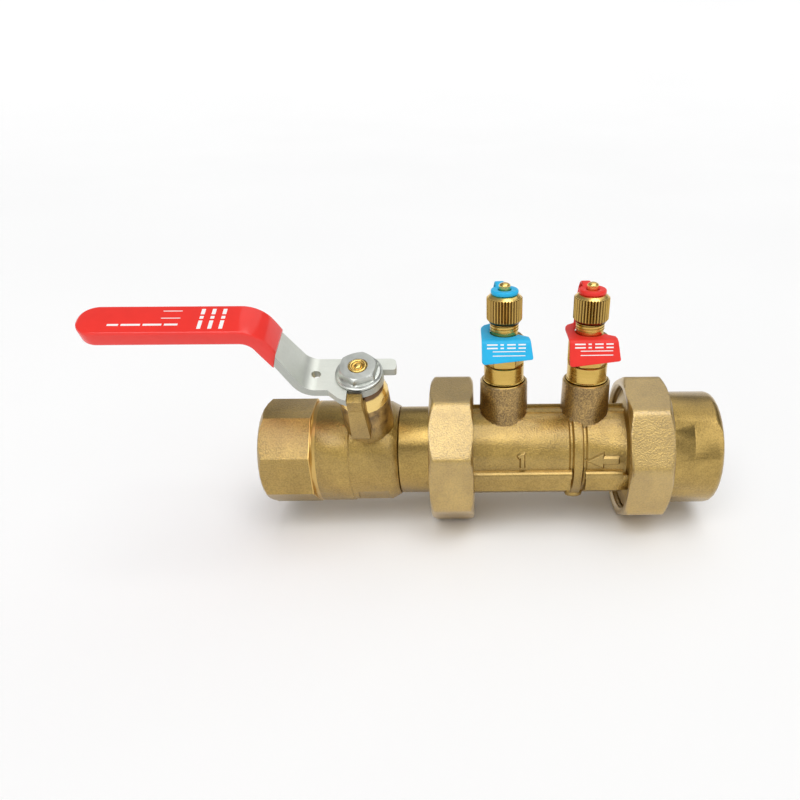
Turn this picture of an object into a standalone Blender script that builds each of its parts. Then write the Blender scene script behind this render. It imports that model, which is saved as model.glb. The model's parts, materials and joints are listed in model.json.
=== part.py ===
"""Automatic balancing valve: a cartridge housing with two test ports, a union tailpiece at the
inlet, and a ball valve with a lever at the outlet, joined by two octagonal union nuts.

The pipe axis is world X with the inlet at +X, the test ports stand up along +Z, and the side
with the flow arrow faces -Y. The origin is on the pipe axis. Everything is in metres.
"""

import math

import bmesh
import bpy
from mathutils import Matrix, Vector

MM = 0.001
CLEAR = 0.3 * MM  # between pieces that touch on the real valve

# The housing, from its outlet face to its inlet face.
OUTLET_FACE_X = -15.7 * MM
HOUSING_LENGTH = 75.2 * MM
BARREL_RADIUS = 17.6 * MM
BARREL_WALL = 3.2 * MM
UNION_STEP = 6.3 * MM  # how far the threaded ends stand out of the barrel
UNION_THREAD_LENGTH = 6.0 * MM
END_CHAMFER = 0.8 * MM

# The ring bead round the cartridge seat, with a groove on both sides and a lug below.
BEAD_FROM_INLET_FACE = 26.7 * MM
BEAD_WIDTH = 4.4 * MM
BEAD_RISE = 0.6 * MM
BEAD_GROOVE = 0.7 * MM
LUG_RADIUS = 3.6 * MM
LUG_REACH = 4.0 * MM
LUG_ANGLE = math.radians(62)  # below the horizontal, towards the front

# The flat pads low on both sides of the barrel, and the twin ribs along its parting line.
PAD_RISE = 2.0 * MM
PAD_TOP = 1.4 * MM
PAD_HEIGHT = 8.0 * MM
RIB_OFFSET = 2.1 * MM
RIB_WIDTH = 1.3 * MM
RIB_RISE = 0.9 * MM

# The flow arrow cast on the front.
ARROW_TIP_X = 36.3 * MM
ARROW_LENGTH = 11.6 * MM
ARROW_HEAD = 5.8 * MM
ARROW_SPREAD = 5.2 * MM
ARROW_SHAFT = 2.2 * MM
ARROW_RISE = 0.6 * MM
ARROW_Z = 4.1 * MM

# The two test ports.
LOW_PORT_FROM_OUTLET_FACE = 20.6 * MM
HIGH_PORT_FROM_INLET_FACE = 23.3 * MM
BOSS_RADIUS = 8.95 * MM
BOSS_RISE = 12.7 * MM  # above the barrel
PORT_COLLAR_RADIUS = 7.45 * MM
PORT_COLLAR_HEIGHT = 6.6 * MM
PORT_STUD_RADIUS = 5.8 * MM
PORT_STUD_LENGTH = 9.0 * MM
PORT_RECESS_GAP = 0.6 * MM
PORT_RECESS_DEPTH = 3.2 * MM
PORT_HEX_FLATS = 15.0 * MM
PORT_HEX_HEIGHT = 12.1 * MM
PORT_NECK_RADIUS = 5.0 * MM
PORT_NECK_HEIGHT = 11.5 * MM
PORT_BORE_RADIUS = 1.7 * MM
PORT_CORE_RADIUS = 3.0 * MM
PORT_CORE_LENGTH = 14.0 * MM
CORE_RETAINER_THICKNESS = 1.4 * MM
O_RING = 1.3 * MM

CAP_WALL = 1.15 * MM
CAP_GAP = 5.2 * MM  # from the hex up to the cap
CAP_ROOF = 2.7 * MM
CAP_BEVEL = 1.9 * MM
CAP_HEAD_BEVEL = 1.0 * MM
CAP_LINER = 0.8 * MM
CAP_TRAVEL = 6.0 * MM
KNURL_TEETH = 32
KNURL_DEPTH = 0.35 * MM
KNOB_RADIUS = 2.0 * MM
KNOB_NECK_RADIUS = 1.5 * MM
KNOB_HEIGHT = 1.5 * MM

RING_THICKNESS = 1.7 * MM
RING_RADIUS = 5.0 * MM
TAG_THICKNESS = 1.0 * MM
TAG_HALF_WIDTH = 9.0 * MM
TAG_FLAP = 7.6 * MM
TAG_FLAP_ANGLE = math.radians(64)
TAG_SLANT = 1.3 * MM  # how much lower the flap's left corner hangs than its right one
TAG_TURN = math.radians(1)  # round the neck, its left side towards the front
STRAP_WIDTH = 3.2 * MM
STRAP_REACH = 4.4 * MM  # how far the strap bows out behind the cap
STRAP_LEAN = 1.5 * MM  # how far left of the cap's middle it meets the ring

# The flow cartridge inside the housing.
SEAT_WIDTH = 2.4 * MM
SEAT_LIP = 1.8 * MM
CARTRIDGE_COLLAR_LENGTH = 3.4 * MM
CARTRIDGE_WALL = 1.3 * MM
CARTRIDGE_LENGTH = 29.0 * MM
CARTRIDGE_LIP = 1.6 * MM
CARTRIDGE_SLOT_WIDTH = 5.0 * MM
CARTRIDGE_SLOT_LENGTH = 11.0 * MM
PISTON_WALL = 1.3 * MM
PISTON_LENGTH = 13.0 * MM
PISTON_ORIFICE = 3.2 * MM
PISTON_TRAVEL = 7.0 * MM
SPRING_WIRE = 1.2 * MM
SPRING_TURNS = 5
END_CAP_LENGTH = 3.0 * MM
END_CAP_RIM = 4.4 * MM
RETAINER_WIDTH = 1.2 * MM
RETAINER_REACH = 1.0 * MM
RETAINER_RIM = 2.2 * MM
RETAINER_GAP = 4.0 * MM

# The unions: a gasket, the flange of the tail and the nut's lip, in this order.
GASKET_THICKNESS = 1.6 * MM
GASKET_WIDTH = 5.0 * MM
FLANGE_THICKNESS = 2.5 * MM
NUT_LIP = 2.5 * MM
NUT_LENGTH = 16.4 * MM
NUT_WALL = 2.65 * MM  # outside the thread, at the flats
NUT_OPEN_CHAMFER = 2.3 * MM
NUT_BACK_CHAMFER = 1.5 * MM
OUTLET_NUT_TURN = math.radians(2.3)
INLET_NUT_TURN = math.radians(11.6)

# The pipe sockets, and the inlet tailpiece with its wrench flats.
PIPE_SOCKET_RADIUS = 15.6 * MM
SOCKET_DEPTH = 22.2 * MM
INLET_TAIL_WALL = 6.5 * MM
INLET_TAIL_LENGTH = 20.2 * MM  # beyond the nut
INLET_TAIL_EDGE = 3.0 * MM  # the radius of its outer edge
WATERWAY_RADIUS = 10.5 * MM
WRENCH_FLAT_LENGTH = 11.6 * MM
WRENCH_FLAT_DEPTH = 1.1 * MM
WRENCH_FLAT_TURN = math.radians(54.5)

# The ball valve, whose stem leans towards the front.
STEM_TILT = math.radians(24.4)
BALL_RADIUS = 15.9 * MM
VALVE_WALL = 3.2 * MM
SEAT_RADIUS = 14.0 * MM
SEAT_DEPTH = 5.6 * MM
TAIL_NOSE_LENGTH = 2.9 * MM
TAIL_NOSE_WALL = 0.9 * MM
OUTLET_TAIL_GAP = 12.2 * MM  # of tail showing between the nut and the valve body
WATERWAY_WEB = 5.6 * MM
OCTAGON_WALL = 3.45 * MM
OCTAGON_LENGTH = 19.5 * MM
END_BAND_RISE = 0.4 * MM
VALVE_END_CHAMFER = 3.6 * MM
MARK_RECESS = 0.5 * MM
MARK_LENGTH = 11.5 * MM
MARK_HEIGHT = 10.0 * MM
MARK_DROP = 1.0 * MM  # of its middle below the pipe's axis
MARK_TURN = math.radians(14)

NECK_WALL = 2.6 * MM
NECK_RISE = 17.6 * MM  # above the valve body
NECK_CONE = 3.3 * MM
STEM_FOOT_RADIUS = 6.6 * MM
STEM_FOOT_HEIGHT = 1.6 * MM
STEM_RADIUS = 4.5 * MM
STEM_TANG_WIDTH = 4.6 * MM
STEM_TANG_HEIGHT = 2.6 * MM
STEM_FLATS = 3.0 * MM  # from the axis to each of the two flats under the lever
STEM_TOP_RADIUS = 3.4 * MM
STEM_TOP_RISE = 0.8 * MM  # above the lever nut
THRUST_WASHER = 1.0 * MM
PACKING_HEIGHT = 5.0 * MM
PACKING_WALL = 1.6 * MM
GLAND_RISE = 1.0 * MM

# The lever, its grip, and the stop lug on the neck.
LEVER_GAP = 1.7 * MM  # from the neck up to the lever
LEVER_THICKNESS = 3.0 * MM
LEVER_WIDTH = 14.4 * MM
HANDLE_WIDTH = 10.4 * MM
LEVER_HUB_RADIUS = 8.2 * MM
LEVER_REACH = 85.2 * MM
LEVER_STEP_START = 18.6 * MM
LEVER_STEP_RISE = 25.3 * MM
LEVER_STEP_ANGLE = math.radians(66)
LEVER_BEND_RADIUS = 7.0 * MM
LEVER_EAR_REACH = 12.4 * MM
LEVER_FAN_RADIUS = 12.4 * MM
LEVER_FAN_START = 10.3 * MM
LEVER_HOLE_RADIUS = 1.65 * MM
LEVER_HOLE_X = 15.2 * MM
GRIP_SKIN = 1.0 * MM
GRIP_END = 3.0 * MM
GRIP_SIDE = 1.1 * MM
GRIP_CLIMB = 14.2 * MM  # up the lever's step to the sleeve's mouth
LEVER_SHOULDER = 1.6 * MM  # of the climb below it, where the plate narrows to the handle
LUG_WIDTH = 5.0 * MM
LUG_LEFT = 3.3 * MM
LUG_THICKNESS = 4.0 * MM
LUG_DROP = 19.0 * MM
LUG_RISE = 0.4 * MM  # above the lever
NUT_FLANGE_RADIUS = 8.2 * MM
NUT_FLANGE_THICKNESS = 1.5 * MM
LEVER_NUT_FLATS = 13.0 * MM
LEVER_NUT_HEIGHT = 2.6 * MM

ROUND = 32  # facets of the large turned pieces
INNER_ROUND = 20  # facets of those inside
SMALL_ROUND = 16  # facets of the small ones
BEND_STEPS = 5  # flats round each bend of the lever

# Worked out from the sizes above: the housing and its unions.
INLET_FACE_X = OUTLET_FACE_X + HOUSING_LENGTH
THREAD_RADIUS = BARREL_RADIUS + UNION_STEP
HOUSING_BORE = BARREL_RADIUS - BARREL_WALL
NUT_BORE = THREAD_RADIUS + CLEAR
NUT_FLATS = 2 * (NUT_BORE + NUT_WALL)
FLANGE_RADIUS = THREAD_RADIUS - CLEAR
UNION_STACK = GASKET_THICKNESS + FLANGE_THICKNESS + NUT_LIP + 3 * CLEAR
BEAD_X = INLET_FACE_X - BEAD_FROM_INLET_FACE
HIGH_PORT_X = INLET_FACE_X - HIGH_PORT_FROM_INLET_FACE
LOW_PORT_X = OUTLET_FACE_X + LOW_PORT_FROM_OUTLET_FACE
INLET_TAIL_RADIUS = PIPE_SOCKET_RADIUS + INLET_TAIL_WALL
INLET_NUT_BACK_X = INLET_FACE_X + UNION_STACK
INLET_END_X = INLET_NUT_BACK_X + INLET_TAIL_LENGTH
OUTLET_NUT_BACK_X = OUTLET_FACE_X - UNION_STACK

# The ports and their caps.
BOSS_TOP = BARREL_RADIUS + BOSS_RISE
PORT_SEAT_Z = BOSS_TOP - PORT_RECESS_DEPTH
PORT_COLLAR_Z = PORT_SEAT_Z + O_RING + 2 * CLEAR
PORT_HEX_Z = PORT_COLLAR_Z + PORT_COLLAR_HEIGHT
PORT_NECK_Z = PORT_HEX_Z + PORT_HEX_HEIGHT
PORT_TOP_Z = PORT_NECK_Z + PORT_NECK_HEIGHT
CAP_Z = PORT_NECK_Z + CAP_GAP
CAP_CEILING_Z = PORT_TOP_Z + CAP_LINER + 2 * CLEAR
CAP_TOP_Z = CAP_CEILING_Z + CAP_ROOF
CAP_BORE = PORT_NECK_RADIUS + CLEAR
CAP_RADIUS = CAP_BORE + CAP_WALL
TAG_Z = PORT_NECK_Z + CLEAR

# The cartridge.
SEAT_X = BEAD_X - BEAD_WIDTH
CARTRIDGE_RADIUS = HOUSING_BORE - SEAT_LIP - CLEAR
CARTRIDGE_BORE = CARTRIDGE_RADIUS - CARTRIDGE_WALL
CARTRIDGE_INLET_X = SEAT_X + CLEAR + CARTRIDGE_COLLAR_LENGTH
CARTRIDGE_OUTLET_X = CARTRIDGE_INLET_X - CARTRIDGE_LENGTH
PISTON_RADIUS = CARTRIDGE_BORE - CLEAR
PISTON_INLET_X = CARTRIDGE_INLET_X - CARTRIDGE_LIP - CLEAR

# The ball valve: distances along the pipe from the ball's centre, then heights up the stem.
CHAMBER_RADIUS = BALL_RADIUS + CLEAR
VALVE_RADIUS = CHAMBER_RADIUS + VALVE_WALL
TAIL_NOSE_RADIUS = CHAMBER_RADIUS + TAIL_NOSE_WALL - 2 * CLEAR
TAIL_RADIUS = CHAMBER_RADIUS + TAIL_NOSE_WALL
SEAT_POCKET = SEAT_RADIUS + CLEAR
NOSE_START = math.sqrt(max(CHAMBER_RADIUS**2 - SEAT_POCKET**2, MM**2))
SEAT_BACK = NOSE_START + SEAT_DEPTH
VALVE_END = NOSE_START + TAIL_NOSE_LENGTH
STEM_X = OUTLET_NUT_BACK_X - OUTLET_TAIL_GAP - VALVE_END
SOCKET_FLOOR = SEAT_BACK + CLEAR + WATERWAY_WEB
OUTLET_END = SOCKET_FLOOR + SOCKET_DEPTH
OCTAGON_RADIUS = (PIPE_SOCKET_RADIUS + OCTAGON_WALL) / math.cos(math.pi / 8)
BAND_END = OUTLET_END - OCTAGON_LENGTH

SLOT_FLOOR = BALL_RADIUS - STEM_TANG_HEIGHT - CLEAR
FOOT_Z = CHAMBER_RADIUS
WASHER_Z = FOOT_Z + STEM_FOOT_HEIGHT + CLEAR
FOOT_POCKET_TOP = WASHER_Z + THRUST_WASHER + CLEAR
PACKING_BORE = STEM_RADIUS + CLEAR + PACKING_WALL
NECK_RADIUS = PACKING_BORE + NECK_WALL
NECK_TOP = VALVE_RADIUS + NECK_RISE + NECK_CONE
PACKING_Z = FOOT_POCKET_TOP + 4.0 * MM
GLAND_Z = PACKING_Z + PACKING_HEIGHT + 2 * CLEAR
GLAND_TOP = NECK_TOP + GLAND_RISE
LEVER_Z = NECK_TOP + LEVER_GAP
LEVER_TOP = LEVER_Z + LEVER_THICKNESS
LEVER_NUT_TOP = LEVER_TOP + CLEAR + NUT_FLANGE_THICKNESS + LEVER_NUT_HEIGHT
STEM_TOP = LEVER_NUT_TOP + STEM_TOP_RISE
LUG_INNER = LEVER_HUB_RADIUS + 1.0 * MM
LUG_RIGHT = LUG_WIDTH - LUG_LEFT
LUG_TOP = LEVER_TOP + LUG_RISE

BRASS = (0.62, 0.44, 0.16)
CAST_BRASS = (0.42, 0.29, 0.11)
BRIGHT_BRASS = (0.72, 0.52, 0.18)
STEEL = (0.66, 0.67, 0.66)
RUBBER = (0.02, 0.02, 0.02)
PTFE = (0.86, 0.86, 0.83)
RED = (0.75, 0.03, 0.03)
BLUE = (0.02, 0.36, 0.72)


def clear_scene():
    """Removes every object that the file opened with."""
    for obj in list(bpy.data.objects):
        bpy.data.objects.remove(obj, do_unlink=True)


def make_collection(name, hidden):
    """A collection of the scene, left out of renders where it holds cutters."""
    made = bpy.data.collections.new(name)
    made.hide_render = hidden
    bpy.context.scene.collection.children.link(made)
    return made


def add_object(name, mesh, frame=None):
    """A part of the valve, placed in the frame of the empty that carries it."""
    obj = bpy.data.objects.new(name, mesh)
    PARTS.objects.link(obj)
    obj.parent = frame
    return obj


def add_cutter(name, mesh, frame=None):
    """A shape that only cuts or joins another, left out of the model itself."""
    obj = bpy.data.objects.new(name, mesh)
    CUTTERS.objects.link(obj)
    obj.parent = frame
    obj.hide_render = True
    obj.display_type = "WIRE"
    return obj


def add_frame(name, location, rotation, parent=None):
    """An empty whose Z axis is the axis that pieces turn or slide on."""
    obj = bpy.data.objects.new(name, None)
    PARTS.objects.link(obj)
    obj.location = location
    obj.rotation_euler = rotation
    obj.parent = parent
    return obj


def finish(obj, colour, metallic=1.0, roughness=0.4, smooth=30):
    """The object's own material, and shading that keeps its hard edges."""
    material = bpy.data.materials.new(obj.name)
    material.use_nodes = True
    shader = material.node_tree.nodes["Principled BSDF"]
    shader.inputs["Base Color"].default_value = (*colour, 1.0)
    shader.inputs["Metallic"].default_value = metallic
    shader.inputs["Roughness"].default_value = roughness
    obj.data.materials.append(material)
    obj.data.shade_smooth()
    obj.data.set_sharp_from_angle(angle=math.radians(smooth))
    return obj


def boolean(obj, other, operation):
    """Cuts the other shape from the object, joins it on, or keeps what they share."""
    modifier = obj.modifiers.new(f"{operation.lower()} {other.name}", "BOOLEAN")
    modifier.operation = operation
    modifier.object = other
    modifier.solver = "EXACT"


def cut(obj, *others):
    """Cuts each of the other shapes from the object."""
    for other in others:
        boolean(obj, other, "DIFFERENCE")


def join(obj, *others):
    """Joins each of the other shapes to the object."""
    for other in others:
        boolean(obj, other, "UNION")


def bevel(obj, width, segments=1, angle=30):
    """Rounds or chamfers the object's sharp edges."""
    modifier = obj.modifiers.new("edges", "BEVEL")
    modifier.width = width
    modifier.segments = segments
    modifier.limit_method = "ANGLE"
    modifier.angle_limit = math.radians(angle)


def profile_area(points):
    """Twice the signed area inside a closed (height, radius) profile."""
    pairs = zip(points, points[1:] + points[:1])
    return sum(r0 * z1 - r1 * z0 for (z0, r0), (z1, r1) in pairs)


def turned_mesh(name, points):
    """The profile of a turned piece, given as (height, radius) pairs round its section."""
    ring = [(z, max(r, 0.0)) for z, r in points]
    if profile_area(ring) > 0:
        ring.reverse()
    on_axis = [index for index, (_, r) in enumerate(ring) if r == 0.0]
    if len(on_axis) == 2 and (on_axis[1] - on_axis[0]) % len(ring) == 1:
        ring = ring[on_axis[1] :] + ring[: on_axis[1]]
    mesh = bpy.data.meshes.new(name)
    edges = [(i, i + 1) for i in range(len(ring) - 1)]
    if not on_axis:
        edges.append((len(ring) - 1, 0))
    mesh.from_pydata([(r, 0.0, z) for z, r in ring], edges, [])
    return mesh


def spin(obj, steps):
    """Turns the object's profile once round its Z axis."""
    modifier = obj.modifiers.new("turn", "SCREW")
    modifier.axis = "Z"
    modifier.steps = steps
    modifier.render_steps = steps
    modifier.use_merge_vertices = True
    modifier.merge_threshold = 0.00001


def turned(name, points, frame=None, steps=ROUND):
    """A turned part about its frame's Z axis."""
    obj = add_object(name, turned_mesh(name, points), frame)
    spin(obj, steps)
    return obj


def turned_cutter(name, points, frame=None, steps=ROUND):
    """A turned cutter about its frame's Z axis."""
    obj = add_cutter(name, turned_mesh(name, points), frame)
    spin(obj, steps)
    return obj


def rod(low, high, radius):
    """The profile of a solid rod."""
    return [(low, 0.0), (low, radius), (high, radius), (high, 0.0)]


def tube(low, high, inner, outer):
    """The profile of a plain ring or tube."""
    return [(low, inner), (low, outer), (high, outer), (high, inner)]


def round_section(middle, radius, thickness, sides=8):
    """The profile of a ring with a round section, such as an O-ring."""
    turns = [2 * math.pi * (i + 0.5) / sides for i in range(sides)]
    half = thickness / 2
    return [(middle + half * math.sin(a), radius + half * math.cos(a)) for a in turns]


def box_mesh(name, low, high):
    """A box between two corners."""
    form = bmesh.new()
    bmesh.ops.create_cube(form, size=1.0)
    size = Vector(high) - Vector(low)
    bmesh.ops.scale(form, vec=size, verts=form.verts)
    bmesh.ops.translate(form, vec=(Vector(high) + Vector(low)) / 2, verts=form.verts)
    mesh = bpy.data.meshes.new(name)
    form.to_mesh(mesh)
    form.free()
    return mesh


def prism_mesh(name, sides, radius, low, high, turn=0.0):
    """A prism along Z with a corner at the angle turn."""
    form = bmesh.new()
    bmesh.ops.create_cone(
        form, cap_ends=True, segments=sides, radius1=radius, radius2=radius, depth=high - low
    )
    bmesh.ops.rotate(form, matrix=Matrix.Rotation(turn, 3, "Z"), verts=form.verts)
    bmesh.ops.translate(form, vec=(0.0, 0.0, (low + high) / 2), verts=form.verts)
    mesh = bpy.data.meshes.new(name)
    form.to_mesh(mesh)
    form.free()
    return mesh


def outline_mesh(name, points, thickness):
    """A flat plate with the outline given, centred on its own XY plane."""
    curve = bpy.data.curves.new(name, "CURVE")
    curve.dimensions = "2D"
    curve.fill_mode = "BOTH"
    curve.extrude = thickness / 2
    spline = curve.splines.new("POLY")
    spline.points.add(len(points) - 1)
    for point, (x, y) in zip(spline.points, points):
        point.co = (x, y, 0.0, 1.0)
    spline.use_cyclic_u = True
    drawn = bpy.data.objects.new(name, curve)
    CUTTERS.objects.link(drawn)
    graph = bpy.context.evaluated_depsgraph_get()
    mesh = bpy.data.meshes.new_from_object(drawn.evaluated_get(graph))
    bpy.data.objects.remove(drawn, do_unlink=True)
    form = bmesh.new()
    form.from_mesh(mesh)
    bmesh.ops.remove_doubles(form, verts=form.verts, dist=0.00001)
    bmesh.ops.recalc_face_normals(form, faces=form.faces)
    form.to_mesh(mesh)
    form.free()
    return mesh


def arc(centre, radius, start, end, steps):
    """Points along an arc from one angle to another, in degrees."""
    turns = [math.radians(start + (end - start) * i / steps) for i in range(steps + 1)]
    return [(centre[0] + radius * math.cos(a), centre[1] + radius * math.sin(a)) for a in turns]


def loft_mesh(name, rings):
    """A closed body through rings of the same number of points, capped at both ends."""
    form = bmesh.new()
    loops = [[form.verts.new(point) for point in ring] for ring in rings]
    count = len(loops[0])
    for lower, upper in zip(loops, loops[1:]):
        for i in range(count):
            j = (i + 1) % count
            form.faces.new((lower[i], lower[j], upper[j], upper[i]))
    form.faces.new(list(reversed(loops[0])))
    form.faces.new(loops[-1])
    bmesh.ops.recalc_face_normals(form, faces=form.faces)
    mesh = bpy.data.meshes.new(name)
    form.to_mesh(mesh)
    form.free()
    return mesh


def housing_outer():
    """The housing's outside, from the outlet face to the inlet face."""
    threads = UNION_THREAD_LENGTH
    slope = UNION_STEP * 0.4
    bead = BEAD_X - BEAD_WIDTH / 2, BEAD_X + BEAD_WIDTH / 2
    groove = BARREL_RADIUS - BEAD_GROOVE
    crown = BARREL_RADIUS + BEAD_RISE
    shoulder = BEAD_RISE + BEAD_GROOVE
    return [
        (OUTLET_FACE_X, 0.0),
        (OUTLET_FACE_X, THREAD_RADIUS - END_CHAMFER),
        (OUTLET_FACE_X + END_CHAMFER, THREAD_RADIUS),
        (OUTLET_FACE_X + threads, THREAD_RADIUS),
        (OUTLET_FACE_X + threads + slope, BARREL_RADIUS),
        (bead[0] - 2 * BEAD_GROOVE, BARREL_RADIUS),
        (bead[0] - BEAD_GROOVE, groove),
        (bead[0], groove),
        (bead[0] + shoulder / 2, crown),
        (bead[1] - shoulder / 2, crown),
        (bead[1], groove),
        (bead[1] + BEAD_GROOVE, groove),
        (bead[1] + 2 * BEAD_GROOVE, BARREL_RADIUS),
        (INLET_FACE_X - threads - slope, BARREL_RADIUS),
        (INLET_FACE_X - threads, THREAD_RADIUS),
        (INLET_FACE_X - END_CHAMFER, THREAD_RADIUS),
        (INLET_FACE_X, THREAD_RADIUS - END_CHAMFER),
        (INLET_FACE_X, 0.0),
    ]


def housing_bore():
    """The housing's waterway, with the cartridge's seat and its retainer's groove."""
    past = 1.0 * MM
    lip = HOUSING_BORE - SEAT_LIP
    clip = CARTRIDGE_INLET_X + CLEAR
    return [
        (OUTLET_FACE_X - past, 0.0),
        (OUTLET_FACE_X - past, HOUSING_BORE),
        (SEAT_X - SEAT_WIDTH, HOUSING_BORE),
        (SEAT_X - SEAT_WIDTH, lip),
        (SEAT_X, lip),
        (SEAT_X, HOUSING_BORE),
        (clip, HOUSING_BORE),
        (clip, HOUSING_BORE + RETAINER_REACH),
        (clip + RETAINER_WIDTH + 2 * CLEAR, HOUSING_BORE + RETAINER_REACH),
        (clip + RETAINER_WIDTH + 2 * CLEAR, HOUSING_BORE),
        (INLET_FACE_X + past, HOUSING_BORE),
        (INLET_FACE_X + past, 0.0),
    ]


def boss_profile():
    """The cast boss of a test port, from inside the barrel to its top."""
    edge = 0.5 * MM
    return [
        (HOUSING_BORE - MM, 0.0),
        (HOUSING_BORE - MM, BOSS_RADIUS + 0.5 * MM),
        (BARREL_RADIUS, BOSS_RADIUS + 0.3 * MM),
        (BOSS_TOP - edge, BOSS_RADIUS),
        (BOSS_TOP, BOSS_RADIUS - edge),
        (BOSS_TOP, 0.0),
    ]


def boss_hole():
    """The stepped hole down through a boss into the waterway."""
    stud = PORT_STUD_RADIUS + CLEAR
    recess = PORT_COLLAR_RADIUS + PORT_RECESS_GAP
    floor = PORT_COLLAR_Z - PORT_STUD_LENGTH - CLEAR
    return [
        (0.0, 0.0),
        (0.0, PORT_BORE_RADIUS),
        (floor, PORT_BORE_RADIUS),
        (floor, stud),
        (PORT_SEAT_Z, stud),
        (PORT_SEAT_Z, recess),
        (BOSS_TOP + MM, recess),
        (BOSS_TOP + MM, 0.0),
    ]


def pad_outline(side):
    """The section of a side pad, whose top is a ledge and whose lower end meets the barrel."""
    face = BARREL_RADIUS + PAD_RISE
    root = BARREL_RADIUS - 1.5 * MM
    foot = PAD_TOP + PAD_HEIGHT
    return [
        (side * root * 0.6, -PAD_TOP),
        (side * (face - 0.4 * MM), -PAD_TOP),
        (side * face, -PAD_TOP - 0.4 * MM),
        (side * face, -foot * 0.8),
        (side * (BARREL_RADIUS * 0.7), -foot * 1.3),
        (side * root * 0.6, -foot),
    ]


def barrel_span():
    """Where the barrel runs between its threaded ends."""
    slope = UNION_STEP * 0.4
    step = UNION_THREAD_LENGTH + slope / 2
    return OUTLET_FACE_X + step, INLET_FACE_X - step


def along_pipe(name, outline, low, high):
    """A bar along the pipe with the given (y, z) section, as a cutter."""
    rings = [[(x, y, z) for y, z in outline] for x in (low, high)]
    return add_cutter(name, loft_mesh(name, rings))


def rib_outline(side):
    """The section of one of the twin ribs along the top of the barrel."""
    middle = side * RIB_OFFSET
    foot = BARREL_RADIUS - MM
    top = BARREL_RADIUS + RIB_RISE
    half = RIB_WIDTH / 2
    crest = half / 2
    return [(middle - half, foot), (middle + half, foot), (middle + crest, top), (middle - crest, top)]


def raised(name, corners):
    """A raised flat shape on the front of the barrel, from its (x, z) corners."""
    rings = []
    for radius in (BARREL_RADIUS - MM, BARREL_RADIUS + ARROW_RISE):
        rings.append([(x, -math.sqrt(radius ** 2 - z ** 2), z) for x, z in corners])
    return add_cutter(name, loft_mesh(name, rings))


def arrow():
    """The head and the shaft of an arrow that points with the flow, towards the outlet."""
    neck = ARROW_TIP_X + ARROW_HEAD
    end = ARROW_TIP_X + ARROW_LENGTH
    head = [
        (ARROW_TIP_X, ARROW_Z),
        (neck, ARROW_Z - ARROW_SPREAD / 2),
        (neck, ARROW_Z + ARROW_SPREAD / 2),
    ]
    half = ARROW_SHAFT / 2
    inside = neck - ARROW_HEAD / 4
    shaft = [
        (inside, ARROW_Z - half),
        (end, ARROW_Z - half),
        (end, ARROW_Z + half),
        (inside, ARROW_Z + half),
    ]
    return raised("arrow_head", head), raised("arrow_shaft", shaft)


def centre_housing(pipe):
    """The cast housing, machined inside for the cartridge and the ports."""
    body = turned("centre_housing", housing_outer(), pipe)
    low, high = barrel_span()
    join(body, turned_cutter("lug", lug_profile(), lug_frame(), SMALL_ROUND))
    gap = BEAD_WIDTH / 2 + BEAD_GROOVE
    for name, side in (("front", -1), ("back", 1)):
        join(body, along_pipe(f"pad_{name}_outlet", pad_outline(side), low, BEAD_X - gap))
        join(body, along_pipe(f"pad_{name}_inlet", pad_outline(side), BEAD_X + gap, high))
        join(body, along_pipe(f"rib_{name}", rib_outline(side), low, high))
    join(body, *arrow())
    half_facet = math.pi / INNER_ROUND
    holes = []
    for name, x in (("low", LOW_PORT_X), ("high", HIGH_PORT_X)):
        boss_frame = add_frame(f"{name}_boss_axis", (x, 0.0, 0.0), (0.0, 0.0, half_facet))
        join(body, turned_cutter(f"{name}_boss", boss_profile(), boss_frame, INNER_ROUND))
        holes.append(turned_cutter(f"{name}_boss_hole", boss_hole(), boss_frame, INNER_ROUND))
    cut(body, turned_cutter("housing_waterway", housing_bore(), pipe, INNER_ROUND), *holes)
    finish(body, CAST_BRASS, roughness=0.45)


def lug_frame():
    """The axis of the lug under the bead, pointing down and forward."""
    return add_frame("lug_axis", (BEAD_X, 0.0, 0.0), (math.pi / 2 + LUG_ANGLE, 0.0, 0.0))


def lug_profile():
    """A lug with a rounded end."""
    low = HOUSING_BORE + MM
    high = HOUSING_BORE + MM + LUG_REACH
    bend = LUG_RADIUS * 0.45
    return [
        (low, 0.0),
        (low, LUG_RADIUS),
        (high - bend, LUG_RADIUS),
        (high - bend * 0.3, LUG_RADIUS - bend * 0.3),
        (high, LUG_RADIUS - bend),
        (high, 0.0),
    ]


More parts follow.
